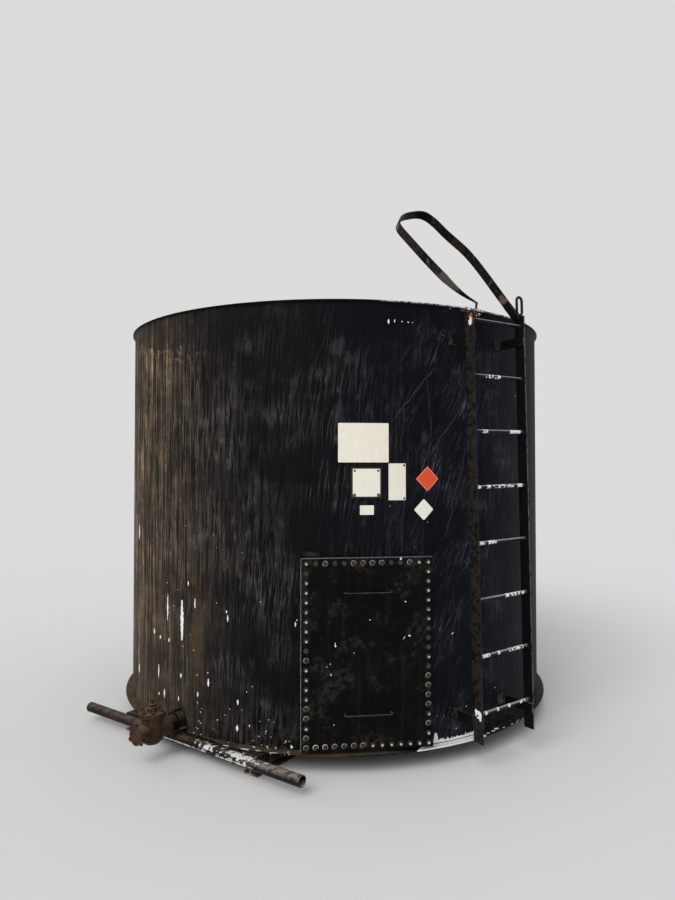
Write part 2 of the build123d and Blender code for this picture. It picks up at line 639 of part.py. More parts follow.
strap_start = Vector(*STRAP_PATH[0])
strap_run = (Vector(*STRAP_PATH[1]) - strap_start).normalized()
buckle_middle = strap_start - strap_run * (BUCKLE_L / 2 + FIT)
buckle_turn = degrees(atan2(strap_run.Y, strap_run.X))
with BuildPart() as grab_loop_buckle:
    with BuildSketch(strap_plane.offset(-BUCKLE_W / 2)):
        with Locations(Location(buckle_middle, (0, 0, buckle_turn))):
            Rectangle(BUCKLE_L, BUCKLE_T)
    extrude(amount=BUCKLE_W)
    pin_start = rail_tip - ladder_up * BUCKLE_PIN_DROP
    with BuildSketch(Plane(origin=pin_start, x_dir=ladder_face, z_dir=-ladder_across)):
        Circle(BUCKLE_PIN_R)
    extrude(amount=BUCKLE_PIN_L)
save(grab_loop_buckle, "grab_loop_buckle")

lug_at = out_dir(HOOK_AZ) * (TANK_R + RIM - RIM_SEAT / 2) + Vector(0, 0, top_z)
with BuildPart() as rim_lug:
    with BuildSketch(Plane(origin=lug_at - side_dir(HOOK_AZ) * RIM_LUG_T / 2,
                           x_dir=-out_dir(HOOK_AZ), z_dir=side_dir(HOOK_AZ))):
        with Locations((0, RIM_LUG_H / 2)):
            Rectangle(RIM_SEAT - 2 * FIT, RIM_LUG_H)
    extrude(amount=RIM_LUG_T)
save(rim_lug, "rim_lug")

strap_end_run = (strap_end - Vector(*STRAP_PATH[-2])).normalized()
hook_tip = strap_plane.from_local_coords(strap_end + strap_end_run * FIT)
hook_front = strap_plane.from_local_coords(strap_end + strap_end_run * HOOK_REACH)
hook_foot = lug_at + Vector(0, 0, RIM_LUG_H + FIT)
hook_back = Vector(hook_foot.X, hook_foot.Y, hook_front.Z)
with BuildPart() as grab_loop_hook:
    with BuildLine():
        FilletPolyline(hook_foot, hook_back, hook_front, hook_tip, radius=HOOK_BEND_R)
    with BuildSketch(Plane(origin=hook_foot, z_dir=(0, 0, 1))):
        Circle(HOOK_R)
    sweep()
save(grab_loop_hook, "grab_loop_hook")

with BuildPart() as rail_ring:
    ring_middle = rail_tip + ladder_across * RAIL_T / 2 + ladder_up * (RING_H / 2 + FIT)
    ring_plane = Plane(origin=ring_middle, x_dir=ladder_up, z_dir=ladder_face)
    with BuildSketch(ring_plane.offset(-RING_BAR / 2)):
        SlotOverall(RING_H, RING_W)
        SlotOverall(RING_H - 2 * RING_BAR, RING_W - 2 * RING_BAR, mode=Mode.SUBTRACT)
    extrude(amount=RING_BAR)
    rims = rail_ring.faces().filter_by(Axis(origin=(0, 0, 0), direction=ladder_face)).edges()
    chamfer(rims, length=RING_BEVEL)
save(rail_ring, "rail_ring")
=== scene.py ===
# %% [markdown]
# # An upright steel storage tank
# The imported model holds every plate, rail and pipe of the tank at its real size. This
# lesson adds what a sprayed, dusty and knocked-about tank shows up close: its coating with
# dust streaks and chips, weld beads, cover bolts, blank sign plates and rust. The frame is
# read first, so that each piece below can be placed by the tank's own sizes.

import json
import math
import random

import bmesh
import bpy
from mathutils import Matrix, Vector, noise


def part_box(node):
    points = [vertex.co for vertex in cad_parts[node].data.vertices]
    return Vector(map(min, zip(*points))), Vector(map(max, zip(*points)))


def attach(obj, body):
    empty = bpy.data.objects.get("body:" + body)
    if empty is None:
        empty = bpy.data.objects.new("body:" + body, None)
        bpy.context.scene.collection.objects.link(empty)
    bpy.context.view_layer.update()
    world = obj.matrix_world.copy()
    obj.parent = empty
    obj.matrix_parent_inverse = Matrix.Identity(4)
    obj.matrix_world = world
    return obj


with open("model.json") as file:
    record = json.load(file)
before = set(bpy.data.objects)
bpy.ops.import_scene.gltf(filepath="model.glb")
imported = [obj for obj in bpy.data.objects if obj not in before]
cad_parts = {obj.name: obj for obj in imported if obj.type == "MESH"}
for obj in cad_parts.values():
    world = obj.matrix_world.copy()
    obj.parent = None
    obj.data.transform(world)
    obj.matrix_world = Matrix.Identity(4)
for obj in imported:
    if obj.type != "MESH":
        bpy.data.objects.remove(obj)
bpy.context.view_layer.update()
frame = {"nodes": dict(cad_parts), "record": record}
scene = bpy.context.scene

# %% [markdown]
# ## The camera
# The photograph was taken with a phone held upright, a little left of the cleanout door and
# five metres from the tank's axis. A wide 27 mm lens, tilted up by little more than a
# degree, gives the same strong curve to the rim. Setting these first means that every later
# choice can be judged in the right view.

# %% Place the camera
CAMERA_AT = (-0.6024, -5.0522, 1.646)
CAMERA_PITCH = 1.28
CAMERA_TURN = -7.0
CAMERA_LENS = 27.0
CAMERA_SENSOR = 36.0
camera = bpy.data.objects.new("camera", bpy.data.cameras.new("camera"))
camera.location = CAMERA_AT
camera.rotation_euler = (math.radians(90 + CAMERA_PITCH), 0, math.radians(CAMERA_TURN))
camera.data.lens = CAMERA_LENS
camera.data.sensor_width = CAMERA_SENSOR
scene.collection.objects.link(camera)
scene.camera = camera
print("camera at", CAMERA_AT)

# %% [markdown]
# ## Small words for shader nodes
# A material is a chain of nodes. It could be wired socket by socket, but then the wiring
# hides what lies on the surface. Here what a node puts out is wrapped, so that times, plus
# and minus on it add Math nodes, and each finish below reads as a list of its layers.

# %% Node helpers


def node(tree, kind, *inputs, out=0, **named):
    """Adds a shader node and gives one output. Inputs come in order or by their capitalised
    name, with _ for a space. Names in small letters are the node's settings."""
    made = tree.nodes.new("ShaderNode" + kind)
    for name, value in named.items():
        if name[0].islower():
            setattr(made, name, value)
    by_name = [(name.replace("_", " "), named[name]) for name in named if name[0].isupper()]
    for place, value in [*enumerate(inputs), *by_name]:
        if isinstance(value, Flow):
            tree.links.new(value.socket, made.inputs[place])
        elif value is not None:
            made.inputs[place].default_value = value
    return Flow(tree, made.outputs[out]) if made.outputs else None


class Flow:
    """What a node puts out. Sums on it add nodes; a name in brackets is another output."""

    def __init__(self, tree, socket):
        self.tree = tree
        self.socket = socket

    def __getitem__(self, name):
        return Flow(self.tree, self.socket.node.outputs[name])

    def maths(self, operation, *others):
        return node(self.tree, "Math", self, *others, operation=operation)

    def __add__(self, other):
        return self.maths("ADD", other)

    def __sub__(self, other):
        return self.maths("SUBTRACT", other)

    def __mul__(self, other):
        return self.maths("MULTIPLY", other)

    def __abs__(self):
        return self.maths("ABSOLUTE")

    def ranged(self, low, high, bottom=0.0, top=1.0):
        """Maps low..high to bottom..top, held at both ends."""
        return node(self.tree, "MapRange", self, low, high, bottom, top)

    def window(self, start, end, soft):
        """1 between start and end, falling to 0 over a soft edge."""
        return (self.ranged(start - soft, start + soft)
                * self.ranged(end - soft, end + soft, 1.0, 0.0))

    def part(self, letter):
        return node(self.tree, "SeparateXYZ", self, out=letter)

    def vector(self, operation, *others, out=0):
        return node(self.tree, "VectorMath", self, *others, out=out, operation=operation)

    def along(self, way):
        """How far a vector reaches along a direction."""
        return self.vector("DOT_PRODUCT", way, out="Value")


def most_of(first, *others):
    """The largest of several values."""
    for other in others:
        first = first.maths("MAXIMUM", other)
    return first


def grain(vector, size, detail=3.0, roughness=0.55):
    return node(vector.tree, "TexNoise", Vector=vector, Scale=size, Detail=detail,
                Roughness=roughness)


def mapped(vector, **turned):
    return node(vector.tree, "Mapping", Vector=vector, **turned)


def blend(share, under, over):
    """One colour laid over another by a share."""
    tree = next(value.tree for value in (share, under, over) if isinstance(value, Flow))
    colours = [value if isinstance(value, Flow) else (*value, 1) for value in (under, over)]
    return node(tree, "Mix", share, *[None] * 5, *colours, out=2, data_type="RGBA")


def make_group(name, body, outputs, **inputs):
    """A shader node group. body works out its outputs from its inputs. An input is a vector
    where it has no default."""
    tree = bpy.data.node_groups.new(name, "ShaderNodeTree")
    for label, default in inputs.items():
        kind = "NodeSocketVector" if default is None else "NodeSocketFloat"
        socket = tree.interface.new_socket(label, in_out="INPUT", socket_type=kind)
        if default is not None:
            socket.default_value = default
    for label, kind in outputs.items():
        tree.interface.new_socket(label, in_out="OUTPUT", socket_type="NodeSocket" + kind)
    given = tree.nodes.new("NodeGroupInput").outputs
    result = tree.nodes.new("NodeGroupOutput").inputs
    made = body(*[Flow(tree, given[label]) for label in inputs])
    for label, value in zip(outputs, made):
        tree.links.new(value.socket, result[label])
    return tree


def use(group, **inputs):
    """Places a group beside the nodes that feed it."""
    tree = next(value.tree for value in inputs.values() if isinstance(value, Flow))
    return node(tree, "Group", node_tree=group, **inputs)


print("node helpers are ready")

# %% [markdown]
# ## Light, floor and background
# A black tank shows its shape only by soft reflections and by the dust on it, so the light
# is broad: a pale sky all round and one very soft sun from the front left. The floor is a
# wide disc of the same pale tone as the background, so that no horizon cuts the picture.
# The background's tone is for the camera alone, and the sky that lights the tank and shows in
# its reflections has its own strength.

# %% Light the scene
PALE = (0.715, 0.715, 0.715)
FLOOR_TONE = (0.815, 0.815, 0.815)
SKY_STRENGTH = 0.55
SUN_STRENGTH = 1.5
SUN_SPREAD = 40.0
SUN_ELEVATION = 42.0
SUN_AZIMUTH = -38.0
FLOOR_R = 60.0


def pale_world():
    """Sky light for the tank, and a plain pale background for the camera."""
    world = bpy.data.worlds.new("pale studio")
    world.use_nodes = True
    tree = world.node_tree
    tree.nodes.clear()
    camera_ray = node(tree, "LightPath", out="Is Camera Ray")
    seen = most_of(camera_ray, camera_ray["Is Transmission Ray"])
    sky, backdrop = [node(tree, "Background", Color=(*tone, 1), Strength=strength)
                     for tone, strength in (((1, 1, 1), SKY_STRENGTH), (PALE, 1.0))]
    node(tree, "OutputWorld", Surface=node(tree, "MixShader", seen, sky, backdrop))
    return world


def soft_sun():
    """One wide sun lamp from the front left."""
    lamp = bpy.data.lights.new("sun", "SUN")
    lamp.energy = SUN_STRENGTH
    lamp.angle = math.radians(SUN_SPREAD)
    sun = bpy.data.objects.new("sun", lamp)
    sun.rotation_euler = (math.radians(90 - SUN_ELEVATION), 0, math.radians(SUN_AZIMUTH))
    scene.collection.objects.link(sun)


def pale_floor():
    """A round plain floor."""
    bm = bmesh.new()
    bmesh.ops.create_circle(bm, cap_ends=True, segments=96, radius=FLOOR_R)
    mesh = bpy.data.meshes.new("floor")
    bm.to_mesh(mesh)
    bm.free()
    floor = bpy.data.objects.new("floor", mesh)
    tone = bpy.data.materials.new("floor tone")
    tone.use_nodes = True
    shader = tone.node_tree.nodes["Principled BSDF"]
    shader.inputs["Base Color"].default_value = (*FLOOR_TONE, 1)
    shader.inputs["Roughness"].default_value = 1.0
    shader.inputs["Specular IOR Level"].default_value = 0.0
    mesh.materials.append(tone)
    scene.collection.objects.link(floor)


scene.world = pale_world()
scene.view_settings.view_transform = "Standard"
soft_sun()
pale_floor()
print("world, sun and floor are in place")

# %% [markdown]
# ## Finding places on the tank
# Nearly everything on a tank is placed the way its maker would say it: so many degrees round
# the wall from the door, so high over the ground, and so far off the plate. The wall's
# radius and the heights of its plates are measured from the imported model, and a few helpers
# turn such places into points and frames.

# %% Measure the frame
wall_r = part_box("shell_sheet_back")[1].y
chime_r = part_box("bottom_plate")[1].x
rim_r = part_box("roof_deck")[1].x
plate_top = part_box("bottom_plate")[1].z
shell_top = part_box("roof_deck")[0].z
DECK_EDGE_T = 0.0048
deck_edge_top = shell_top + DECK_EDGE_T
door_low, door_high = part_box("cleanout_cover")
door_middle = (door_low.z + door_high.z) / 2
cover_front = door_low.y
LADDER_AZ = 28.5
OUTLET_AZ = -45.0
SKID_AZ = -43.0
RIGHT = Vector((1, 0, 0))
UP = Vector((0, 0, 1))


def out_way(azimuth):
    """Level direction straight out of the wall; 0 is the door, positive to its right."""
    turn = math.radians(azimuth)
    return Vector((math.sin(turn), -math.cos(turn), 0))


def side_way(azimuth):
    """Level direction along the wall, to the right for someone facing it."""
    turn = math.radians(azimuth)
    return Vector((math.cos(turn), math.sin(turn), 0))


def wall_point(azimuth, height, off=0.0):
    return out_way(azimuth) * (wall_r + off) + Vector((0, 0, height))


def frame_at(origin, right, up):
    """Matrix of a place whose x runs right, y runs up and z comes out of it."""
    right = right.normalized()
    up = up.normalized()
    return Matrix.Translation(origin) @ Matrix((right, up, right.cross(up))).transposed().to_4x4()


def wall_frame(azimuth, height, off=0.0):
    return frame_at(wall_point(azimuth, height, off), side_way(azimuth), UP)


def wrap_on_wall(verts, azimuth, height, off=0.0):
    """Bends flat work round the wall: its x becomes the way round, its y the height."""
    for vert in verts:
        turn = azimuth + math.degrees(vert.co.x / wall_r)
        vert.co = wall_point(turn, height + vert.co.y, off + vert.co.z)


print(f"wall radius {wall_r:.4f}, rim {rim_r:.4f}, chime {chime_r:.4f}, shell top {shell_top:.4f}")

# %% [markdown]
# ## What happens to the coating everywhere
# A few things are shared by most of the tank's surfaces. Dust runs down a wall in streaks, so
# its pattern has to follow the plate round: the wall is unrolled into metres round and
# metres up. Coating lets go in flakes with a rim round each. Rust is never one brown. And
# dust settles on whatever faces up. Each is a node group with named sockets, built once.

# %% Shared surface effects
PATTERN_MIDDLE = 30.0     # the unrolled pattern's ends meet at the seam across from here
RUST_TONES = ((0.028, 0.015, 0.010), (0.090, 0.042, 0.021), (0.19, 0.090, 0.040))


def unroll(point):
    """Metres round and up the wall, and the azimuth in degrees."""
    turned = node(point.tree, "VectorRotate", Vector=point, Angle=-math.radians(PATTERN_MIDDLE),
                  rotation_type="Z_AXIS")
    angle = turned.part("X").maths("ARCTAN2", turned.part("Y") * -1.0)
    unrolled = node(point.tree, "CombineXYZ", angle * wall_r, turned.part("Z"), 0.0)
    return unrolled, angle.maths("DEGREES") + PATTERN_MIDDLE


def run_down(unrolled, across, along, lean, low, high, width, seed):
    """Runs down the wall: their body, and the thin edges that single drops leave."""
    x = unrolled.part("X")
    y = unrolled.part("Y")
    wander = grain(unrolled, 22.0, 2.0, 0.5).ranged(0.0, 1.0, -0.009, 0.009)
    spread = node(unrolled.tree, "CombineXYZ", (x - y * lean + wander) * across, y * along, seed)
    body = grain(spread, 1.0, 3.0, 0.55).ranged(low, high)
    return body, abs(grain(spread, 1.0, 1.0, 0.4) - 0.5).ranged(0.0, width, 1.0, 0.0)


def let_go(point, size, amount):
    """Where the coating is gone, and the lifted rim round each such place."""
    over = grain(point, size, 5.0, 0.62) - amount.ranged(0.0, 1.0, 0.80, 0.38)
    bare = over.ranged(0.0, 0.012)
    return bare, over.ranged(-0.03, 0.0) - bare


def corrode(point, size):
    broad = grain(point, size, 5.0, 0.7)
    close = grain(point, size * 4.0, 3.0, 0.6)
    brown = blend(broad.ranged(0.35, 0.65), RUST_TONES[0], RUST_TONES[1])
    return blend(close.ranged(0.56, 0.78), brown, RUST_TONES[2]), broad + close


def settle(point, normal, amount):
    patchy = grain(point, 14.0, 4.0, 0.65).ranged(0.3, 0.62, 0.35, 1.0)
    return [normal.part("Z").ranged(0.3, 0.9) * patchy * amount]


def rag(point, middle, radius, size):
    """A spot with a torn edge."""
    ragged = grain(point, size, 4.0, 0.65).ranged(0.3, 0.7, 0.5, 1.3)
    reach = point.vector("DISTANCE", middle, out="Value").maths("DIVIDE", radius * ragged)
    return [reach.ranged(0.75, 1.0, 1.0, 0.0)]


MASK = {"Mask": "Float"}
unrolled_wall = make_group("unrolled wall", unroll, {"Unrolled": "Vector", "Azimuth": "Float"},
                           Point=None)
streaks = make_group("streaks", run_down, MASK | {"Line": "Float"}, Unrolled=None, Across=30.0,
                     Along=2.0, Lean=0.0, Low=0.45, High=0.7, Width=0.03, Seed=0.0)
flakes = make_group("flakes", let_go, {"Bare": "Float", "Rim": "Float"}, Point=None, Scale=40.0,
                    Amount=0.3)
rust = make_group("rust", corrode, {"Colour": "Color", "Height": "Float"}, Point=None,
                  Scale=60.0)
settled_dust = make_group("settled dust", settle, MASK, Point=None, Normal=None, Amount=0.6)
ragged_spot = make_group("ragged spot", rag, MASK, Point=None, Middle=None, Radius=0.05,
                         Grain=60.0)
print("node groups:", [group.name for group in bpy.data.node_groups])

# %% [markdown]
# ## A coating's start and end
# Every finish starts with the same shader and the same two facts, the point and the normal
# on the object, and ends in a colour, a roughness and a relief. Both are kept in one small
# class, so a finish only says what lies between them.

# %% Coating helper


class Coating:
    """A new material, and what its nodes start from."""

    def __init__(self, name, specular=0.3, shine=(1, 1, 1)):
        self.material = bpy.data.materials.new(name)
        self.material.use_nodes = True
        self.tree = self.material.node_tree
        self.shader = self.tree.nodes["Principled BSDF"]
        self.shader.inputs["Specular IOR Level"].default_value = specular
        self.shader.inputs["Specular Tint"].default_value = (*shine, 1)
        self.point = node(self.tree, "TexCoord", out="Object")
        self.normal = self.point["Normal"]

    def rust(self, size):
        return use(rust, Point=self.point, Scale=size)

    def dust(self, amount):
        return use(settled_dust, Point=self.point, Normal=self.normal, Amount=amount)

    def spot(self, middle, radius, size):
        return use(ragged_spot, Point=self.point, Middle=middle, Radius=radius, Grain=size)

    def finish(self, colour, roughness, height, distance, strength=1.0):
        """Feeds the shader. The height is in shares of a distance in metres."""
        relief = node(self.tree, "Bump", Strength=strength, Distance=distance, Height=height)
        for name, value in (("Base Color", colour), ("Roughness", roughness), ("Normal", relief)):
            self.tree.links.new(value.socket, self.shader.inputs[name])
        return self.material


coatings = {}
print("the coating helper is ready")

# %% [markdown]
# ## Marks with a known place on the wall
# Most of the wall's dust is a pattern, but a few stains and scratches have one place. They
# could be pieces, yet they have no thickness. So a stain is a ragged distance from one place
# on the unrolled wall, and a scratch is the distance from a line.

# %% Stains and scratches
PALE_PATCHES = (  # azimuth, height, half width, half height
    (-6.4, 2.280, 0.050, 0.060), (-4.0, 2.225, 0.030, 0.045), (-6.0, 1.916, 0.038, 0.085),
    (13.2, 1.80, 0.026, 0.040),
)
OLIVE_PATCHES = (
    (-39.6, 0.66, 0.052, 0.34), (-41.1, 0.99, 0.030, 0.05), (-43.2, 1.37, 0.022, 0.07),
    (-34.9, 1.225, 0.026, 0.05), (-31.9, 1.09, 0.030, 0.04),
)
DOOR_RUST = (-11.9, 1.166, 0.055, 0.018, 0.8)
SCRATCHES = (  # azimuth and height of both ends, share
    ((5.0, 1.88), (16.6, 2.20), 0.22), ((13.5, 1.66), (24.0, 2.02), 0.2),
    ((-14.0, 1.95), (-9.5, 2.32), 0.08), ((17.5, 1.20), (25.5, 1.83), 0.2),
    ((7.4, 1.68), (8.2, 1.98), 0.15), ((14.6, 1.75), (14.2, 2.15), 0.15),
)
SCRATCH_W = 0.006


def on_unrolled(azimuth, height):
    return Vector((math.radians(azimuth - PATTERN_MIDDLE) * wall_r, height, 0))


def stain(unrolled, azimuth, height, half_width, half_height, soft=0.5):
    """A ragged patch at one place on the unrolled wall."""
    moved = unrolled.vector("SUBTRACT", on_unrolled(azimuth, height))
    scaled = moved.vector("MULTIPLY", (1 / half_width, 1 / half_height, 1))
    ragged = grain(unrolled, 45.0, 4.0, 0.65).ranged(0.3, 0.7, -0.3, 0.3)
    return (scaled.vector("LENGTH", out="Value") + ragged).ranged(1.0 - soft, 1.0, 1.0, 0.0)


def scratch(unrolled, start, end):
    """A thin, nearly straight line between two places on the unrolled wall."""
    first = on_unrolled(*start)
    last = on_unrolled(*end)
    half = (last - first).length / 2
    way = (last - first).normalized()
    moved = unrolled.vector("SUBTRACT", (first + last) / 2)
    bend = grain(unrolled, 6.0, 2.0).ranged(0.0, 1.0, -0.03, 0.03)
    beside = abs(moved.along((-way.y, way.x, 0)) + bend)
    return (beside.ranged(SCRATCH_W * 0.3, SCRATCH_W, 1.0, 0.0)
            * abs(moved.along(way)).ranged(half * 0.7, half, 1.0, 0.0))


print("stains:", len(PALE_PATCHES) + len(OLIVE_PATCHES), "scratches:", len(SCRATCHES))

# %% [markdown]
# ## The wall's black coating
# The shell is sprayed with a thick black coating that has gone satin. Wind has laid dust on
# it: brown and dense on the windward left side, in fine upright runs, thinner and greyer
# towards the door, and drawn out in slanting wisps to the right. It could be painted as one
# noise, but the runs only look real when their width, their slant and their colour change
# round the tank, so each is a layer with its own window of azimuth. From the door round to
# the back the coating and its dust are tinted blue as painted sky light, and the thin tan
# film on the windward side also serves as a painted sheen of grazing sky light.

# %% Wall coating
COATING = (0.0030, 0.0029, 0.0030)
# painted sky light: the black tinted blue from the door round to the back
COATING_SKY_TINTED = (0.0024, 0.0034, 0.0068)
TAN_DUST = (0.225, 0.168, 0.112)
TAN_STREAK = (0.430, 0.305, 0.198)
GREY_DUST = (0.103, 0.094, 0.086)
# painted sky light: grey dust tinted blue from the door round to the back
DUST_SKY_TINTED = (0.100, 0.116, 0.142)
OCHRE_DUST = (0.290, 0.185, 0.092)
OLIVE_STAIN = (0.085, 0.055, 0.029)
COOL_SHINE = (0.84, 0.92, 1.0)
WINDWARD = -88.0
TAN_RUNS = (  # across, along, low, high, seed, share far from the wind and towards it
    (66.0, 1.0, 0.562, 0.590, 1.0, 0.00, 1.00),
    (108.0, 2.2, 0.560, 0.588, 7.0, 0.02, 0.72),
    (38.0, 0.6, 0.582, 0.606, 4.0, 0.00, 0.46),
)
GREY_WISPS = (  # across, along, lean, width, seed, from azimuth, to azimuth, share
    (38.0, 2.6, 0.03, 0.075, 11.0, -58.0, -18.0, 0.60),
    (42.0, 2.8, 0.12, 0.055, 12.0, -34.0, 2.0, 0.37),
    (48.0, 4.6, 0.42, 0.045, 15.0, 9.0, 33.0, 0.62),
    (40.0, 1.2, 0.03, 0.045, 17.0, 1.0, 20.0, 0.26),
    (78.0, 2.4, 0.07, 0.050, 19.0, 24.0, 75.0, 0.42),
    (40.0, 1.8, 0.03, 0.060, 23.0, 70.0, 205.0, 0.26),
    (40.0, 1.8, 0.03, 0.060, 27.0, -148.0, -120.0, 0.26),
)


def wall_coating():
    coat = Coating("wall coating", specular=0.07, shine=COOL_SHINE)
    wall = use(unrolled_wall, Point=coat.point)
    unrolled = wall["Unrolled"]
    azimuth = wall["Azimuth"]
    height = coat.point.part("Z")
    windward = most_of((azimuth - WINDWARD).maths("RADIANS").maths("COSINE"), 0.0)
    patchy = grain(unrolled, 2.6, 3.0, 0.6).ranged(0.35, 0.65, 0.45, 1.3)
    close_patches = grain(unrolled, 11.0, 4.0, 0.6).ranged(0.38, 0.56, 0.25, 1.15)
    holes = most_of(close_patches, 0.62)
    # painted sky light: share of the blue tint, from the door round to the back
    sky_tint_share = azimuth.ranged(-22.0, 28.0) * azimuth.ranged(100.0, 190.0, 1.0, 0.0)
    colour = blend(sky_tint_share, COATING, COATING_SKY_TINTED)

    # brown runs under the windward side's ragged upper edge, and the film between them, which
    # is tan dust and also a painted sheen of grazing sky light
    edge = (azimuth.ranged(-73.0, -36.0, 2.44, 2.27)
            + grain(unrolled, 9.0, 4.0, 0.65).ranged(0.3, 0.7, -0.09, 0.07))
    under_edge = height - edge
    exposed = windward.ranged(0.43, 0.98).maths("POWER", 1.9)
    tan = []
    for across, along, low, high, seed, least, most in TAN_RUNS:
        runs = use(streaks, Unrolled=unrolled, Across=across, Along=along, Low=low, High=high,
                   Seed=seed)
        tan.append(runs * exposed.ranged(0.0, 1.0, least, most))
    runs = (most_of(*tan) * patchy * holes * under_edge.ranged(-0.02, 0.03, 1.0, 0.26)
            * height.ranged(0.25, 1.15, 0.34, 1.0))
    # tan dust film that near the left edge also serves as a painted sheen of grazing sky light
    film_and_sheen = windward.ranged(0.45, 0.9, 0.0, 0.085) * height.ranged(0.7, 1.5, 1.0, 0.50) * patchy
    drip_edge = (under_edge.window(-0.020, -0.006, 0.005) * close_patches
                 * azimuth.window(-70.0, -40.0, 4.0))
    tan_share = runs + film_and_sheen + drip_edge * 0.24
    brown = blend(windward.ranged(0.35, 0.78), GREY_DUST, TAN_STREAK)
    ochre = (grain(mapped(unrolled, Scale=(26.0, 0.7, 1.0)), 1.0, 2.0).ranged(0.54, 0.60)
             * windward.ranged(0.70, 0.88))
    colour = blend(tan_share, colour, blend(ochre, brown, OCHRE_DUST))

    # grey wisps, in clusters, with calm places between them
    clusters = grain(unrolled, 3.4, 3.0, 0.55).ranged(0.42, 0.58, 0.30, 1.15)
    grey = []
    for across, along, lean, width, seed, start, end, most in GREY_WISPS:
        wisp = use(streaks, Unrolled=unrolled, Across=across, Along=along, Lean=lean, Low=0.55,
                   High=0.72, Width=width, Seed=seed)
        both = most_of(wisp * 0.20, wisp["Line"])
        grey.append(both * azimuth.window(start, end, 7.0) * holes * clusters * most)
    calm = most_of(grain(unrolled, 1.7, 2.0, 0.5).ranged(0.42, 0.56, 0.30, 1.1),
                   azimuth.ranged(-34.0, -18.0, 1.0, 0.0))
    grey_share = (most_of(*grey) * height.ranged(2.05, 2.45, 1.0, 0.3)
                  * height.ranged(0.3, 1.3, 0.68, 1.0) * calm)
    # grey dust, tinted blue from the door round to the back as painted sky light
    pale_dust_and_sky_tint = blend(sky_tint_share, GREY_DUST, DUST_SKY_TINTED)
    colour = blend(grey_share, colour, pale_dust_and_sky_tint)

    # single marks, rust over the door and soil splashed up from the ground
    marks = [stain(unrolled, *place) * 0.17 for place in PALE_PATCHES]
    marks += [scratch(unrolled, start, end) * share for start, end, share in SCRATCHES]
    colour = blend(most_of(*marks), colour, pale_dust_and_sky_tint)
    for place in OLIVE_PATCHES:
        colour = blend(stain(unrolled, *place) * 0.5, colour, OLIVE_STAIN)
    crust = blend(0.4, coat.rust(60.0), TAN_DUST)
    colour = blend(stain(unrolled, *DOOR_RUST) * 0.32, colour, crust)
    splash = (grain(unrolled, 18.0, 4.0, 0.65).ranged(0.50, 0.72)
              * height.ranged(plate_top, plate_top + 0.26, 1.0, 0.0))
    colour = blend(splash * 0.20, colour, TAN_DUST)

    dusty = tan_share + (grey_share + splash)
    relief = grain(coat.point, 130.0, 3.0, 0.6) + grain(unrolled, 3.0, 1.0, 0.4) * 5.0
    return coat.finish(colour, dusty.ranged(0.0, 0.5, 0.56, 0.92), relief, 0.0011, 0.6)


coatings["shell_coating"] = wall_coating()
print("made", coatings["shell_coating"].name)

# %% [markdown]
# ## Plate edges
# The bottom plate's lip and the deck's rim are knocked most, so their coating flakes to pale
# undercoat and rust there, more on the near side. One even amount of flaking would look
# like a print, so the amount itself changes round the tank. Pale patches along the rim's
# outer edge on the near right are worn coating that also serves as a painted edge highlight.

# %% Plate coating
UNDERCOAT = (0.74, 0.73, 0.70)
PLATE_BLACK = (0.0042, 0.0042, 0.0046)
# pale worn edge, which also serves as a painted highlight on the rim's edge
EDGE_PALE_AND_HIGHLIGHT = (0.60, 0.58, 0.54)


def plate_coating():
    """Bottom plate, deck, nozzle and union."""
    coat = Coating("plate coating", specular=0.12)
    point = coat.point
    wall = use(unrolled_wall, Point=point)
    azimuth = wall["Azimuth"]
    high_up = point.part("Z").ranged(1.2, 1.3)
    lip = point.part("Z").ranged(1.2, 1.3, 1.0, 0.0)
    near_rim = azimuth.window(3.0, 40.0, 2.0) * high_up
    from_axis = point.vector("MULTIPLY", (1, 1, 0)).vector("LENGTH", out="Value")
    edge_patches = grain(mapped(wall, Scale=(15.0, 0.0, 0.0)), 1.0, 4.0, 0.7).ranged(0.44, 0.52)
    # pale patches on the rim's outer edge: worn coating and a painted edge highlight
    edge_wear_and_highlight = edge_patches * near_rim * from_axis.ranged(rim_r - 0.012, rim_r - 0.006)
    amount = (near_rim * 0.26 + 0.08 + azimuth.window(-34.0, -12.0, 3.0) * lip * 0.38
              + azimuth.window(10.0, 44.0, 3.0) * lip * 0.30)
    chips = use(flakes, Point=point, Scale=24.0, Amount=amount)
    scale = coat.rust(50.0)
    spread = grain(point, 9.0, 4.0, 0.6).ranged(0.52, 0.66, 0.0, 0.7)
    rusty = most_of(azimuth.window(-14.5, -5.0, 1.5) * lip, spread * 0.5)
    lee = azimuth.window(6.0, 110.0, 3.0) * lip
    dust = coat.dust(0.42) * lee.ranged(0.0, 1.0, 1.0, 0.15)
    colour = blend(dust, blend(rusty, PLATE_BLACK, scale), TAN_DUST)
    bare = blend(grain(point, 120.0).ranged(0.5, 0.62), UNDERCOAT, scale)
    colour = blend(chips, colour, bare)
    colour = blend(edge_wear_and_highlight * 0.9, colour, EDGE_PALE_AND_HIGHLIGHT)
    return coat.finish(colour, dust.ranged(0.0, 0.4, 0.5, 0.85), grain(point, 150.0) - chips,
                       0.0006)


coatings["plate_coating"] = plate_coating()
print("made", coatings["plate_coating"].name)

# %% [markdown]
# ## The cleanout door
# The door is cleaner and blacker than the wall, because it has been taken off and sprayed
# again. It is scuffed in torn clouds, with faint drips. Two noises are multiplied for the
# clouds: a broad one says where they lie and a close one tears them. Dust on whatever faces
# up is light grey, and along the handles' tops it also serves as a painted highlight.

# %% Door coating
DOOR_BLACK = (0.0019, 0.0020, 0.0021)
# dust grey, light enough to serve as the painted highlight on the handles' tops
DUST_AND_HIGHLIGHT_GREY = (0.15, 0.145, 0.14)


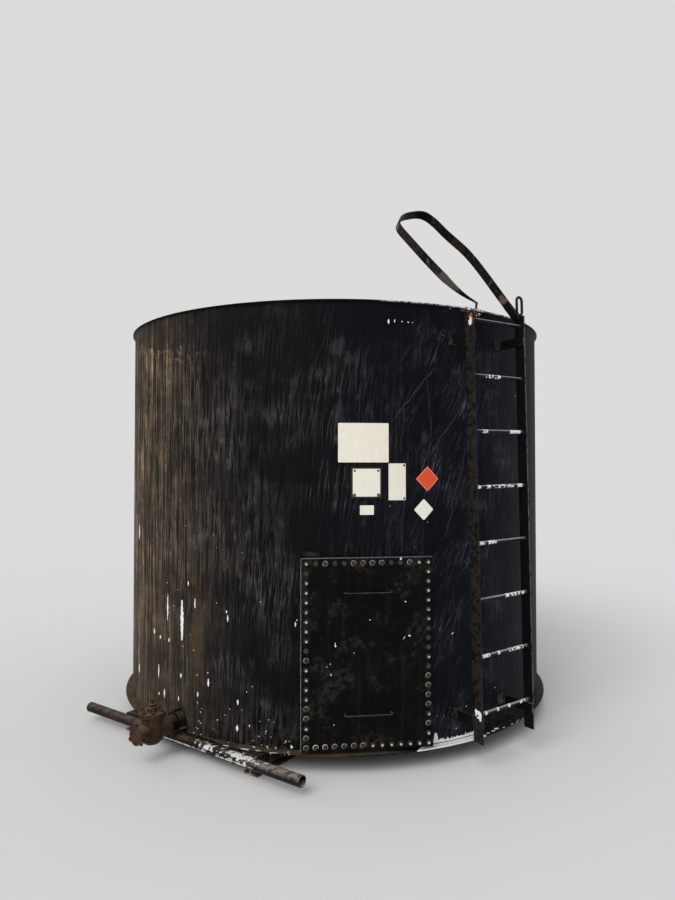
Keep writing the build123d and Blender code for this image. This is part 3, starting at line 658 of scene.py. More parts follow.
def door_coating():
    """Cleanout cover, neck and handles."""
    coat = Coating("door coating", specular=0.07)
    point = coat.point
    runs = use(streaks, Unrolled=use(unrolled_wall, Point=point), Across=34.0, Along=3.0,
               Low=0.52, High=0.8, Seed=31.0)
    clouds = grain(point, 7.0, 5.0, 0.65).ranged(0.50, 0.60)
    scuffs = clouds * grain(point, 34.0, 4.0, 0.65).ranged(0.42, 0.56)
    chips = use(flakes, Point=point, Scale=75.0, Amount=0.13)
    colour = blend(scuffs * 0.17, DOOR_BLACK, GREY_DUST)
    colour = blend(runs * 0.08, colour, GREY_DUST)
    colour = blend(chips, colour, UNDERCOAT)
    # dust on upward faces; on the handles' tops it also serves as a painted highlight
    colour = blend(coat.dust(0.55), colour, DUST_AND_HIGHLIGHT_GREY)
    return coat.finish(colour, clouds.ranged(0.0, 1.0, 0.50, 0.7), grain(point, 140.0) - chips,
                       0.0005)


coatings["door_coating"] = door_coating()
print("made", coatings["door_coating"].name)

# %% [markdown]
# ## The ladder's worn paint
# Hands and boots wear a ladder where they touch it: the left rail's front edge to brown. The
# rungs' tops are dust grey lightened as a painted highlight, the right rail's front edge
# carries a painted highlight, and the dust on upward faces is lightened as a painted
# highlight too. A wear mask could come from the mesh's edges, but a ladder wears by
# place, so each mask asks how far out and how far across the ladder a point lies.

# %% Ladder coating
LADDER_BLACK = (0.0035, 0.0035, 0.0038)
RAIL_BROWN = (0.030, 0.0215, 0.0172)
BRACKET_GREY = (0.040, 0.047, 0.044)
# dust grey on the rungs' tops, lightened as a painted highlight
RUNG_DUST_AND_HIGHLIGHT = (0.30, 0.31, 0.33)
# painted highlight on the right rail's front edge
RAIL_EDGE_HIGHLIGHT = (0.125, 0.130, 0.140)
# dust on upward faces, lightened as a painted highlight
LEDGE_DUST_AND_HIGHLIGHT = (0.36, 0.36, 0.36)


def ladder_coating():
    """Rails, rungs and brackets."""
    coat = Coating("ladder coating", specular=0.14)
    point = coat.point
    across = point.along(side_way(LADDER_AZ))
    out = point.along(out_way(LADDER_AZ))
    facing = coat.normal.along(out_way(LADDER_AZ))
    on_rail = out.ranged(wall_r + 0.124, wall_r + 0.130, 0.1, 1.0)
    left = across.ranged(-0.21, -0.19, 1.0, 0.1) * on_rail
    brown = grain(point, 34.0, 5.0, 0.7).ranged(0.42, 0.56, 0.0, 0.85) * left
    colour = blend(brown, LADDER_BLACK, RAIL_BROWN)
    at_wall = (out.ranged(wall_r + 0.010, wall_r + 0.022, 0.8, 0.0)
               * grain(point, 30.0, 4.0).ranged(0.36, 0.56))
    colour = blend(at_wall, colour, BRACKET_GREY)
    # the rungs' upper fronts: dust, lightened as a painted highlight
    rung_top_dust_and_highlight = (facing.ranged(0.10, 0.35) * coat.normal.part("Z").ranged(0.25, 0.60)
                * across.window(-0.185, 0.165, 0.01)
                * grain(point, 30.0, 4.0).ranged(0.34, 0.50, 0.4, 1.0))
    colour = blend(rung_top_dust_and_highlight, colour, RUNG_DUST_AND_HIGHLIGHT)
    # painted highlight along the right rail's front edge, broken by a noise
    lightened = (facing.ranged(0.80, 0.95) * across.ranged(0.15, 0.18)
              * grain(point, 26.0, 4.0).ranged(0.38, 0.52, 0.1, 0.75))
    colour = blend(lightened, colour, RAIL_EDGE_HIGHLIGHT)
    chips = use(flakes, Point=point, Scale=60.0, Amount=0.24)
    scale = coat.rust(70.0)
    colour = blend(chips["Rim"], colour, scale)
    colour = blend(chips, colour, scale)
    # dust on whatever faces up, light enough to also be a painted highlight on the tops
    colour = blend(coat.dust(0.9) * on_rail, colour, LEDGE_DUST_AND_HIGHLIGHT)
    return coat.finish(colour, brown.ranged(0.0, 1.0, 0.42, 0.75), scale["Height"] - chips,
                       0.0005)


coatings["ladder_coating"] = ladder_coating()
print("made", coatings["ladder_coating"].name)

# %% [markdown]
# ## The skid's scraped bars
# The skid has dragged over ground. Its pull bar peels to white along stretches of its top, and
# soil has dried on it. A thin pale line along its lower front and grey on its top near the
# ends are painted highlights. The flakes are stretched along the bar, because scrapes run
# that way.

# %% Skid coating
SOIL = (0.20, 0.145, 0.098)
BAR_RUST = (0.125, 0.052, 0.024)
# painted highlight on the bar's top near its ends
BAR_TOP_HIGHLIGHT = (0.27, 0.225, 0.215)
PINK_UNDERCOAT = (0.36, 0.27, 0.26)
PEELED_TOP = (  # from and to along the bar in metres, share
    (0.37, 0.55, 1.0), (0.15, 0.30, 0.56), (0.62, 0.84, 0.42), (0.86, 0.97, 0.72),
)


def skid_coating():
    """Runners and pull bars."""
    coat = Coating("skid coating", specular=0.14)
    point = coat.point
    along = point.along(side_way(SKID_AZ))
    on_bar = point.along(out_way(SKID_AZ)).ranged(wall_r - 0.005, wall_r)
    facing = coat.normal.along(out_way(SKID_AZ))
    up = coat.normal.part("Z")
    on_top = on_bar * up.ranged(0.35, 0.75)
    tops = [along.window(start, end, 0.04) * most for start, end, most in PEELED_TOP]
    front = on_bar * up.ranged(-0.35, -0.10) * along.window(0.10, 0.60, 0.09)
    peeled = most_of(most_of(*tops) * on_top, front * 0.56)
    stretched = mapped(point, Rotation=(0, 0, -math.radians(SKID_AZ)), Scale=(0.35, 1.0, 1.0))
    chips = use(flakes, Point=stretched, Scale=52.0, Amount=peeled + 0.10)
    scale = coat.rust(45.0)
    spread = grain(stretched, 16.0, 4.0, 0.65).ranged(0.52, 0.64)
    colour = blend(spread * 0.7, PLATE_BLACK, scale)
    rust_streak = (on_top * along.window(-0.08, 0.06, 0.02)
                   * grain(stretched, 40.0, 3.0).ranged(0.42, 0.54))
    colour = blend(rust_streak, colour, BAR_RUST)
    near_end = most_of(along.ranged(-0.24, -0.17, 0.24, 0.0), along.ranged(0.44, 0.62, 0.0, 0.85))
    # painted highlight: grey on the bar's upward faces near its ends
    bar_top_highlight = (on_bar * up.ranged(0.0, 0.8) * near_end
              * grain(stretched, 44.0, 4.0).ranged(0.42, 0.54, 0.15, 1.0))
    colour = blend(bar_top_highlight, colour, BAR_TOP_HIGHLIGHT)
    pink_share = grain(point, 55.0).ranged(0.5, 0.6) * up.ranged(0.1, 0.5, 0.55, 0.0)
    bare = blend(pink_share, UNDERCOAT, PINK_UNDERCOAT)
    bare = blend(grain(stretched, 78.0, 3.0).ranged(0.56, 0.60), bare, PLATE_BLACK)
    colour = blend(chips, colour, bare)
    # painted highlight: a pale line along the bar's lower front, in the undercoat's colour
    line = (up.window(-0.42, -0.12, 0.06) * on_bar * along.window(-0.19, 0.56, 0.02)
            * facing.ranged(0.3, 0.6) * abs(along - 0.26).ranged(0.03, 0.05)
            * grain(stretched, 60.0, 3.0).ranged(0.38, 0.50))
    colour = blend(line, colour, UNDERCOAT)
    caked = (point.part("Z").ranged(0.0, 0.07, 0.85, 0.0)
             * grain(point, 22.0, 4.0, 0.6).ranged(0.35, 0.55))
    colour = blend(most_of(coat.dust(0.22), caked), colour, SOIL)
    return coat.finish(colour, spread.ranged(0.0, 1.0, 0.5, 0.85), scale["Height"] - chips,
                       0.0009)


coatings["skid_steel"] = skid_coating()
print("made", coatings["skid_steel"].name)

# %% [markdown]
# ## Castings, the grab loop and the roof's fittings
# The valve is bare rusty iron with soil dried on it. The grab loop is black flat steel, worn
# brown and dulled pale in places that are known one by one, so a short table holds them. The
# roof's fittings are black under settled dust, and the gasket's rubber has a grey bloom.

# %% Small coatings
IRON_DARK = (0.020, 0.013, 0.010)
STRAP_BLACK = (0.0050, 0.0045, 0.0045)
STRAP_BROWN = (0.042, 0.034, 0.031)
STRAP_PALE = (0.185, 0.150, 0.122)
FITTING_BLACK = (0.0085, 0.0085, 0.009)
RUBBER_TONES = ((0.012, 0.012, 0.012), (0.045, 0.043, 0.04))
WORN_SPOTS = (  # middle and radius
    ((0.613, -1.145, 2.968), 0.060), ((0.845, -1.286, 2.606), 0.036),
    ((0.292, -1.230, 2.933), 0.120), ((0.440, -1.290, 2.770), 0.075),
    ((0.860, -1.300, 2.570), 0.022),
)
DULLED_SPOTS = (
    ((0.492, -1.310, 2.700), 0.095), ((0.395, -1.262, 2.830), 0.021),
    ((0.842, -1.283, 2.612), 0.042), ((0.245, -1.165, 3.060), 0.035),
    ((0.660, -1.310, 2.572), 0.055),
)


def valve_iron():
    """Cast valve: rust of several browns, rough skin, and soil on what faces up."""
    coat = Coating("valve iron", specular=0.2)
    scale = coat.rust(38.0)
    dark = grain(coat.point, 21.0, 5.0, 0.65).ranged(0.42, 0.6)
    colour = blend(coat.dust(0.8), blend(dark * 0.85, scale, IRON_DARK), SOIL)
    rough = grain(coat.point, 90.0).ranged(0.3, 0.7, 0.7, 0.95)
    return coat.finish(colour, rough, scale["Height"], 0.0022)


def strap_coating():
    """Flat steel of the grab loop, hook, buckle and ring."""
    coat = Coating("strap coating", specular=0.22)
    point = coat.point
    scale = coat.rust(55.0)
    worn = grain(point, 19.0, 5.0, 0.68).ranged(0.62, 0.68, 0.0, 0.6)
    worn = most_of(worn, *[coat.spot(*place, 34.0) * 0.75 for place in WORN_SPOTS])
    mottled = grain(point, 48.0, 4.0, 0.65).ranged(0.36, 0.60, 0.35, 1.0)
    colour = blend(worn * mottled, STRAP_BLACK, blend(0.45, scale, STRAP_BROWN))
    lightened = grain(point, 23.0, 4.0, 0.6).ranged(0.60, 0.68, 0.0, 0.35)
    lightened = most_of(lightened, *[coat.spot(*place, 34.0) * 0.7 for place in DULLED_SPOTS])
    colour = blend(lightened, colour, STRAP_PALE)
    return coat.finish(colour, worn.ranged(0.0, 1.0, 0.45, 0.8), scale["Height"], 0.0006)


def fitting_coating():
    """Hatch, lid, hinge, vent and coupling."""
    coat = Coating("fitting coating", specular=0.22)
    scale = coat.rust(60.0)
    spread = grain(coat.point, 24.0, 5.0, 0.65).ranged(0.55, 0.66, 0.0, 0.8)
    dust = coat.dust(0.5)
    colour = blend(dust, blend(spread, FITTING_BLACK, scale), TAN_DUST)
    return coat.finish(colour, dust.ranged(0.0, 0.5, 0.45, 0.85), scale["Height"], 0.0005)


def gasket_rubber():
    coat = Coating("gasket rubber", specular=0.3)
    bloom = grain(coat.point, 45.0, 4.0, 0.6).ranged(0.4, 0.7)
    return coat.finish(blend(bloom, *RUBBER_TONES), bloom.ranged(0.0, 1.0, 0.7, 0.95), bloom,
                       0.0003)


coatings["valve_iron"] = valve_iron()
coatings["strap_steel"] = strap_coating()
coatings["fitting_coating"] = fitting_coating()
coatings["gasket_rubber"] = gasket_rubber()
slots = {part["node"]: part["material_slot"] for part in frame["record"]["subparts"]}
for node_name, cad_object in frame["nodes"].items():
    cad_object.data.materials.clear()
    cad_object.data.materials.append(coatings[slots[node_name]])
print("coatings:", sorted(coatings))

# %% [markdown]
# ## Making meshes and pieces
# Small parts such as a bolt are shaped once and then set down many times, the way a box of
# bolts is used. The helpers here make a rod between two points, a bolt head, and a finished
# object that rides on the tank.

# %% Mesh helpers
SOFT_ANGLE = math.radians(38)
ROUGH_SEED = 5
noise.seed_set(ROUGH_SEED)    # noise_vector starts from the clock until it is given a seed


def new_piece(name, bm, slot, materials=None, body="tank"):
    """Turns a finished bmesh into a piece that rides on a body."""
    bmesh.ops.recalc_face_normals(bm, faces=bm.faces)
    mesh = bpy.data.meshes.new(name)
    bm.to_mesh(mesh)
    bm.free()
    for material in materials or [coatings[slot]]:
        mesh.materials.append(material)
    mesh.shade_smooth()
    mesh.set_sharp_from_angle(angle=SOFT_ANGLE)
    piece = bpy.data.objects.new(name, mesh)
    scene.collection.objects.link(piece)
    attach(piece, body)
    return piece


def rod(bm, start, end, radius, segments=12, end_radius=None):
    """A round bar between two points; with another end radius, a cone."""
    run = end - start
    turn = run.to_track_quat("Z", "Y").to_matrix().to_4x4()
    made = bmesh.ops.create_cone(bm, cap_ends=True, segments=segments, radius1=radius,
                                 radius2=radius if end_radius is None else end_radius,
                                 depth=run.length,
                                 matrix=Matrix.Translation((start + end) / 2) @ turn)
    return made["verts"]


def disc(bm, radius, height, lift=0.0, segments=20, edge=0.0, steps=1):
    """A short round body standing on z = lift, its top edge chamfered by edge."""
    place = Matrix.Translation((0, 0, lift + height / 2))
    made = bmesh.ops.create_cone(bm, cap_ends=True, segments=segments, radius1=radius,
                                 radius2=radius, depth=height, matrix=place)
    if edge:
        top = [e for e in {e for v in made["verts"] for e in v.link_edges}
               if all(v.co.z > lift + height * 0.9 for v in e.verts)]
        bmesh.ops.bevel(bm, geom=top, offset=edge, segments=steps, profile=0.5, affect="EDGES",
                        material=-1)


def hexagon(bm, across_flats, height, lift=0.0):
    """A hexagon head with its top corners chamfered."""
    disc(bm, across_flats / math.sqrt(3), height, lift, 6, height * 0.14)


def template(shape):
    """A mesh made once by a function that fills a bmesh, to be set down many times."""
    bm = bmesh.new()
    shape(bm)
    bmesh.ops.recalc_face_normals(bm, faces=bm.faces)
    mesh = bpy.data.meshes.new("template")
    bm.to_mesh(mesh)
    bm.free()
    return mesh


def set_down(bm, mesh, place, material=0):
    """Adds a copy of a template at a place."""
    first_vert = len(bm.verts)
    first_face = len(bm.faces)
    bm.from_mesh(mesh)
    bm.verts.ensure_lookup_table()
    bm.faces.ensure_lookup_table()
    bmesh.ops.transform(bm, matrix=place, verts=bm.verts[first_vert:])
    for face in bm.faces[first_face:]:
        face.material_index = material


def roughen(verts, amount, size):
    """Moves points a little by a noise, so that a made shape looks hand-made."""
    for vert in verts:
        vert.co += noise.noise_vector(vert.co * size) * amount


def lengthwise(edges, way):
    """The edges that run along a direction."""
    return [e for e in edges if abs((e.verts[0].co - e.verts[1].co).normalized().dot(way)) > 0.9]


print("mesh helpers are ready")

# %% [markdown]
# ## Weld beads
# The tank is welded from plate, so every joint has its bead: round the foot of the wall,
# under the deck's rim, up each seam of the rolled sheets and round each fitting. A bead is
# neither a smooth tube nor a straight one, so each is made as a round bar, cut into many
# short lengths and roughened by a noise.

# %% Lay the weld beads
BEAD_GRAIN = 140.0
WALL_BEAD = 0.0045
RING_STEPS = 540
SEAMS = (30.0, 120.0, 210.0, 300.0)
SEAM_BEAD_W = 0.011
SEAM_BEAD_PROUD = 0.0016
NECK_W = 0.6288           # over the box neck's sides
NECK_H = 0.9336


def bead(bm, start, end, radius, pitch=0.008, lump=0.12):
    """A straight bead between two points, lumpy along its length."""
    verts = rod(bm, start, end, radius, segments=8)
    edges = lengthwise({e for v in verts for e in v.link_edges}, (end - start).normalized())
    cuts = max(2, int((end - start).length / pitch))
    made = bmesh.ops.subdivide_edges(bm, edges=edges, cuts=cuts)
    inner = [item for item in made["geom_inner"] if isinstance(item, bmesh.types.BMVert)]
    roughen(inner, radius * lump, BEAD_GRAIN)


def bead_ring(bm, middle, radius, thick, steps, lift=None):
    """A bead round an upright axis. lift gives the height of the surface under a point."""
    section = bmesh.ops.create_circle(bm, segments=6, radius=thick,
                                      matrix=frame_at(middle + RIGHT * radius, RIGHT, UP))["verts"]
    edges = list({edge for vert in section for edge in vert.link_edges})
    bmesh.ops.spin(bm, geom=[*section, *edges], cent=middle, axis=UP, angle=2 * math.pi,
                   steps=steps, use_merge=True)
    verts = {vert for face in bm.faces for vert in face.verts
             if abs((vert.co - middle).to_2d().length - radius) < 2 * thick}
    roughen(verts, thick * 0.12, BEAD_GRAIN)
    if lift:
        for vert in verts:
            vert.co.z += lift(vert.co) - middle.z


def merged(bm):
    bmesh.ops.remove_doubles(bm, verts=bm.verts, dist=1e-6)
    return bm


for name, level in (("wall_foot_weld", plate_top), ("rim_weld", shell_top)):
    ring_work = bmesh.new()
    bead_ring(ring_work, UP * level, wall_r, WALL_BEAD, RING_STEPS)
    new_piece(name, merged(ring_work), "plate_coating")

seam_work = bmesh.new()
for seam in SEAMS:
    low = len(seam_work.verts)
    bead(seam_work, UP * 0, Vector((0, shell_top - plate_top, 0)), SEAM_BEAD_W / 2, pitch=0.014)
    seam_work.verts.ensure_lookup_table()
    laid = seam_work.verts[low:]
    bmesh.ops.scale(seam_work, vec=(1, 1, 2 * SEAM_BEAD_PROUD / SEAM_BEAD_W), verts=laid)
    bmesh.ops.transform(seam_work, matrix=wall_frame(seam, plate_top), verts=laid)
new_piece("wall_seam_welds", seam_work, "shell_coating")

neck_work = bmesh.new()
for across in (-NECK_W / 2, NECK_W / 2):
    depth = -math.sqrt(wall_r ** 2 - across ** 2)
    bead(neck_work, Vector((across, depth, door_middle - NECK_H / 2)),
         Vector((across, depth, door_middle + NECK_H / 2)), WALL_BEAD)
new_piece("cleanout_neck_weld", neck_work, "door_coating")
print("weld beads round the wall's foot and rim, up", len(SEAMS), "seams and beside the neck")

# %% [markdown]
# ## Steels of the small hardware
# Bolts, screws and plates are small, so each needs only one tone with rust or grime in spots
# and a little mottling. One function with a few values makes them all.

# %% Hardware finishes


def metal(name, colour, spotted, share, roughness=0.55, metallic=0.0):
    """One tone, broken in spots by another, or by rust where none is named."""
    coat = Coating(name, specular=0.35)
    scale = coat.rust(110.0)
    spots = grain(coat.point, 95.0, 4.0, 0.65).ranged(0.62 - share * 0.3, 0.70 - share * 0.3)
    mottle = grain(coat.point, 240.0).ranged(0.3, 0.7, 0.75, 1.1)
    tone = node(coat.tree, "HueSaturation", Value=mottle, Color=(*colour, 1))
    coat.shader.inputs["Metallic"].default_value = metallic
    return coat.finish(blend(spots, tone, spotted or scale),
                       spots.ranged(0.0, 1.0, roughness, 0.85), scale["Height"], 0.0004)


bolt_steels = [
    metal("washer, dark", (0.016, 0.011, 0.009), (0.034, 0.020, 0.013), 0.5),
    metal("washer, pale ring", (0.46, 0.39, 0.31), None, 0.30),
    metal("washer, white", (0.74, 0.73, 0.70), None, 0.25),
    metal("nut, dark", (0.012, 0.010, 0.009), (0.030, 0.020, 0.014), 0.3),
    metal("nut, worn", (0.060, 0.048, 0.038), (0.020, 0.014, 0.011), 0.5),
    # pale steel, lightened as a painted highlight on the stud's dome
    metal("stud end, pale with painted highlight", (0.62, 0.60, 0.54), None, 0.25),
    metal("stud end, dull", (0.050, 0.040, 0.032), None, 0.5),
]
WASHER_DARK, WASHER_RING, WASHER_WHITE, NUT_DARK, NUT_WORN, STUD_PALE_AND_HIGHLIGHT, STUD_DULL = range(7)
print("bolt steels:", len(bolt_steels))

# %% [markdown]
# ## The cleanout's bolts
# Sixty-four bolts hold the cover, two inches apart, fourteen across and twenty up. Each is
# a washer, a hexagon nut and the stud's rounded end, shaped once and set down by a loop.
# On most the stud's end is pale steel, lightened as a painted highlight on its dome. On some
# the washer shows as a pale ring instead, so short tables name those, and each nut is turned
# by its own angle.

# %% Cover bolts
BOLT_PITCH = 0.0508
BOLTS_ACROSS = 14
BOLTS_UP = 20
WASHER_T = 0.0024
NUT_H = 0.0095
washer_mesh = template(lambda bm: disc(bm, 0.0150, WASHER_T, 0.0, 18, 0.0006))
nut_mesh = template(lambda bm: hexagon(bm, 0.0220, NUT_H))
stud_mesh = template(lambda bm: disc(bm, 0.0062, 0.0045, NUT_H, 12, 0.0015, 2))
TOP = BOLTS_UP - 1
LAST = BOLTS_ACROSS - 1
WHITE_RINGS = {(1, 0), (2, 0)}  # column and row, counted from the lower left bolt
PALE_RINGS = {(0, 0), (0, 1), (0, 3), (0, 4), (0, 9), (3, 0), (4, 0), (5, 0), (6, 0),
              (2, TOP), (5, TOP), (6, TOP), (7, TOP), (8, TOP), (11, TOP),
              (LAST, 2), (LAST, 4), (LAST, 5), (LAST, 6), (LAST, 7)}
DULL_BOLTS = {(0, 10), (0, 18), (1, TOP), (3, TOP), (4, TOP), (9, TOP), (10, TOP),
              (LAST, 8), (LAST, 10), (LAST, 11), (LAST, 12)}


def bolt_finish(place):
    """Steels of a bolt's washer, nut and stud end."""
    if place in WHITE_RINGS:
        return WASHER_WHITE, NUT_DARK, STUD_DULL
    if place in PALE_RINGS:
        return WASHER_RING, NUT_DARK, STUD_DULL
    return WASHER_DARK, NUT_WORN, STUD_DULL if place in DULL_BOLTS else STUD_PALE_AND_HIGHLIGHT


draw = random.Random(64)
bolt_work = bmesh.new()
places = [(column, row) for column in range(BOLTS_ACROSS) for row in range(BOLTS_UP)
          if column in (0, LAST) or row in (0, TOP)]
for column, row in places:
    spot = Vector(((column - LAST / 2) * BOLT_PITCH, cover_front,
                   door_middle + (row - TOP / 2) * BOLT_PITCH))
    seat = frame_at(spot, RIGHT, UP)
    turned = Matrix.Rotation(draw.uniform(0, math.pi / 3), 4, "Z")
    on_washer = seat @ Matrix.Translation((0, 0, WASHER_T)) @ turned
    parts = ((washer_mesh, seat), (nut_mesh, on_washer), (stud_mesh, on_washer))
    for (mesh, place), steel in zip(parts, bolt_finish((column, row))):
        set_down(bolt_work, mesh, place, steel)
new_piece("cover_bolts", bolt_work, "door_coating", bolt_steels)
print("cover bolts:", len(places))

# %% [markdown]
# ## The joint's squeezed-out sealant
# A thin grey line shows along the cover's left and top edges, at the joint between the
# flanges. It is a narrow bead that follows the joint, painted grey on those two sides as a
# highlight where the edges face the light, and black on the other two.

# %% Sealant round the cover
SEALANT_R = 0.0042
joint_depth = (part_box("cleanout_gasket")[0].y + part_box("cleanout_gasket")[1].y) / 2
# grey as a painted highlight on the cover's left and top edges
sealant_highlight = metal("sealant, painted highlight", (0.16, 0.155, 0.145), (0.020, 0.019, 0.018), 0.25, 0.8)
left, right, low, high = door_low.x, door_high.x, door_low.z, door_high.z
corners = [Vector((x, joint_depth, z)) for x, z in
           ((left, low), (left, high), (right, high), (right, low), (left, low))]
sealant_work = bmesh.new()
for index, (corner, beyond) in enumerate(zip(corners, corners[1:])):
    first = len(sealant_work.faces)
    bead(sealant_work, corner, beyond, SEALANT_R, pitch=0.012, lump=0.25)
    sealant_work.faces.ensure_lookup_table()
    for face in sealant_work.faces[first:]:
        # left and top sides get the painted highlight, right and bottom stay black
        face.material_index = 0 if index < 2 else 1
new_piece("cover_sealant", sealant_work, "gasket_rubber",
          [sealant_highlight, coatings["door_coating"]])
print("sealant bead round the cover")

# %% [markdown]
# ## Sign plates
# Six plates are fixed to the wall above and beside the door. Their faces are left blank
# here. The large one and the diamonds are thin sheets that follow the wall; the square one
# is a stiff plate on a dark backing, held by four screws. Each starts as a flat grid, gets
# rounded corners and a thickness, and is then wrapped round the wall.

# %% Sign helpers
SIGN_OFF = 0.0004         # the sheets' backs off the wall
GRID_STEP = 0.012
FADED = (0.72, 0.66, 0.55)
SIGN_SPECK = (0.10, 0.09, 0.075)
SIGN_RUST = (0.42, 0.17, 0.05)


def sign_face(name, colour, grime=0.25, spots=()):
    """Faded paint with run-down dirt, fine specks and rust where it is named."""
    coat = Coating(name, specular=0.4)
    point = coat.point
    runs = use(streaks, Unrolled=use(unrolled_wall, Point=point), Across=85.0, Along=9.0,
               Low=0.5, High=0.85, Seed=51.0)
    cloud = grain(point, 24.0, 4.0, 0.6).ranged(0.4, 0.75)
    dusted = [channel * share for channel, share in zip(colour, FADED)]
    tone = blend(most_of(runs, cloud) * grime, colour, dusted)
    tone = blend(grain(point, 210.0, 2.0).ranged(0.70, 0.74) * 0.5, tone, SIGN_SPECK)
    for middle, radius in spots:
        tone = blend(coat.spot(middle, radius, 120.0), tone,
                     blend(0.55, coat.rust(90.0), SIGN_RUST))
    return coat.finish(tone, cloud.ranged(0.0, 1.0, 0.42, 0.62), grain(point, 160.0), 0.00012)


def plate_grid(bm, width, height, turn, corner):
    """A flat grid with rounded corners, turned in its own plane."""
    bmesh.ops.create_grid(bm, x_segments=max(2, round(width / GRID_STEP)),
                          y_segments=max(2, round(height / GRID_STEP)), size=0.5)
    bmesh.ops.scale(bm, vec=(width, height, 1), verts=bm.verts)
    tips = [v for v in bm.verts if len(v.link_faces) == 1]
    bmesh.ops.bevel(bm, geom=tips, offset=corner, segments=3, profile=0.5, affect="VERTICES",
                    material=-1)
    bmesh.ops.rotate(bm, verts=bm.verts, matrix=Matrix.Rotation(math.radians(turn), 3, "Z"))


def thicken(bm, amount):
    """Gives flat work a thickness towards +z, and closes it."""
    made = bmesh.ops.extrude_face_region(bm, geom=bm.faces[:])
    raised = [item for item in made["geom"] if isinstance(item, bmesh.types.BMVert)]
    bmesh.ops.translate(bm, vec=(0, 0, amount), verts=raised)


def sign(name, place, width, tall, thick, faces, turn=0.0, off=SIGN_OFF, corner=0.004, line=None):
    """A sheet wrapped on the wall. line gives its painted line's margin and width."""
    bm = bmesh.new()
    plate_grid(bm, width, tall, turn, corner)
    if line:
        margin = set(bmesh.ops.inset_region(bm, faces=bm.faces[:], thickness=line[0],
                                            use_boundary=True)["faces"])
        inside = [face for face in bm.faces if face not in margin]
        for face in bmesh.ops.inset_region(bm, faces=inside, thickness=line[1])["faces"]:
            face.material_index = 1
    thicken(bm, thick)
    wrap_on_wall(bm.verts, *place, off)
    return new_piece(name, bm, "shell_coating", faces).name


print("sign helpers are ready")

# %% [markdown]
# ## Fixing the signs
# Where each plate sits is read from the photograph as an azimuth and a height. Faces of the
# same colour share one finish, and the square plate gets two rusty lower corners of its own.

# %% Signs
CREAM = (0.91, 0.87, 0.755)
PAPER_WHITE = (0.96, 0.94, 0.87)
GREENISH = (0.87, 0.875, 0.735)
ORANGE = (0.80, 0.085, 0.020)
PALE_LINE = (0.86, 0.80, 0.72)
SQUARE_AT = (-0.1, 1.551)  # azimuth and height
SQUARE_SIDE = 0.149
TALL_AT = (6.7, 1.555)
ORANGE_SIDE = 0.141 / math.sqrt(2)
WHITE_SIDE = 0.119 / math.sqrt(2)
SHEET_T = 0.0012
BACKING_T = 0.004
cream_face = sign_face("sign, cream", CREAM, 0.28)
white_face = sign_face("sign, paper white", PAPER_WHITE, 0.16)
line_face = sign_face("sign, pale line", PALE_LINE, 0.2)
orange_face = sign_face("sign, orange", ORANGE, 0.22)
backing_face = metal("sign backing, dark", (0.011, 0.010, 0.0095), None, 0.15)
screw_metal = metal("screw, dark", (0.040, 0.032, 0.028), None, 0.5)
rusty_corners = [(wall_point(SQUARE_AT[0] + math.degrees(side * SQUARE_SIDE * 0.45 / wall_r),
                             SQUARE_AT[1] - SQUARE_SIDE * 0.47, 0.008), 0.014) for side in (-1, 1)]
square_face = sign_face("sign, greenish white", GREENISH, 0.12, rusty_corners)
print("signs:", [
    sign("sign_large", (-0.7, 1.767), 0.277, 0.213, SHEET_T, [cream_face]),
    sign("sign_square_backing", SQUARE_AT, 0.170, 0.168, BACKING_T, [backing_face]),
    sign("sign_square", SQUARE_AT, SQUARE_SIDE, 0.150, 0.002, [square_face],
         off=BACKING_T + SIGN_OFF),
    sign("sign_tall", TALL_AT, 0.098, 0.200, SHEET_T, [cream_face]),
    sign("sign_label", (0.0, 1.403), 0.076, 0.051, 0.0008, [cream_face], corner=0.002),
    sign("sign_diamond_orange", (13.8, 1.570), ORANGE_SIDE, ORANGE_SIDE, SHEET_T,
         [orange_face, line_face], 45.0, corner=0.002, line=(0.0035, 0.0013)),
    sign("sign_diamond_pale", (12.9, 1.401), WHITE_SIDE, WHITE_SIDE, SHEET_T, [white_face], 45.0,
         corner=0.008),
])

# %% [markdown]
# ## Screws of the signs
# The square plate is held by four pan-head screws and the tall one by two on its right. A
# pan head is a low disc with a rounded top edge, so the bolt's helper makes it as well.

# %% Sign screws
screw_mesh = template(lambda bm: disc(bm, 0.0058, 0.0028, 0.0, 14, 0.0012, 2))
SQUARE_SCREWS = [(SQUARE_AT, x, y, BACKING_T + 0.0024)
                 for x in (-0.064, 0.064) for y in (-0.064, 0.064)]
TALL_SCREWS = [(TALL_AT, 0.040, y, 0.0016) for y in (-0.09, 0.09)]
screw_work = bmesh.new()
for (azimuth, height), across, up, off in SQUARE_SCREWS + TALL_SCREWS:
    turn = azimuth + math.degrees(across / wall_r)
    set_down(screw_work, screw_mesh, wall_frame(turn, height + up, off))
new_piece("sign_screws", screw_work, "shell_coating", [screw_metal])
print("sign screws:", len(SQUARE_SCREWS + TALL_SCREWS))

# %% [markdown]
# ## How a chip is made
# Where something struck the tank, the coating came off in leaf-shaped chips and shows the
# white undercoat. A mask in the material could only scatter them; the large ones are known
# one by one, so tables place them. A chip is a fine grid from which everything outside a
# ragged leaf is taken away, smoothed, and given a thin body.

# %% Chip helpers
CHIP_T = 0.0005
CHIP_CELL = 0.0032
CHIP_OFF = 0.0001


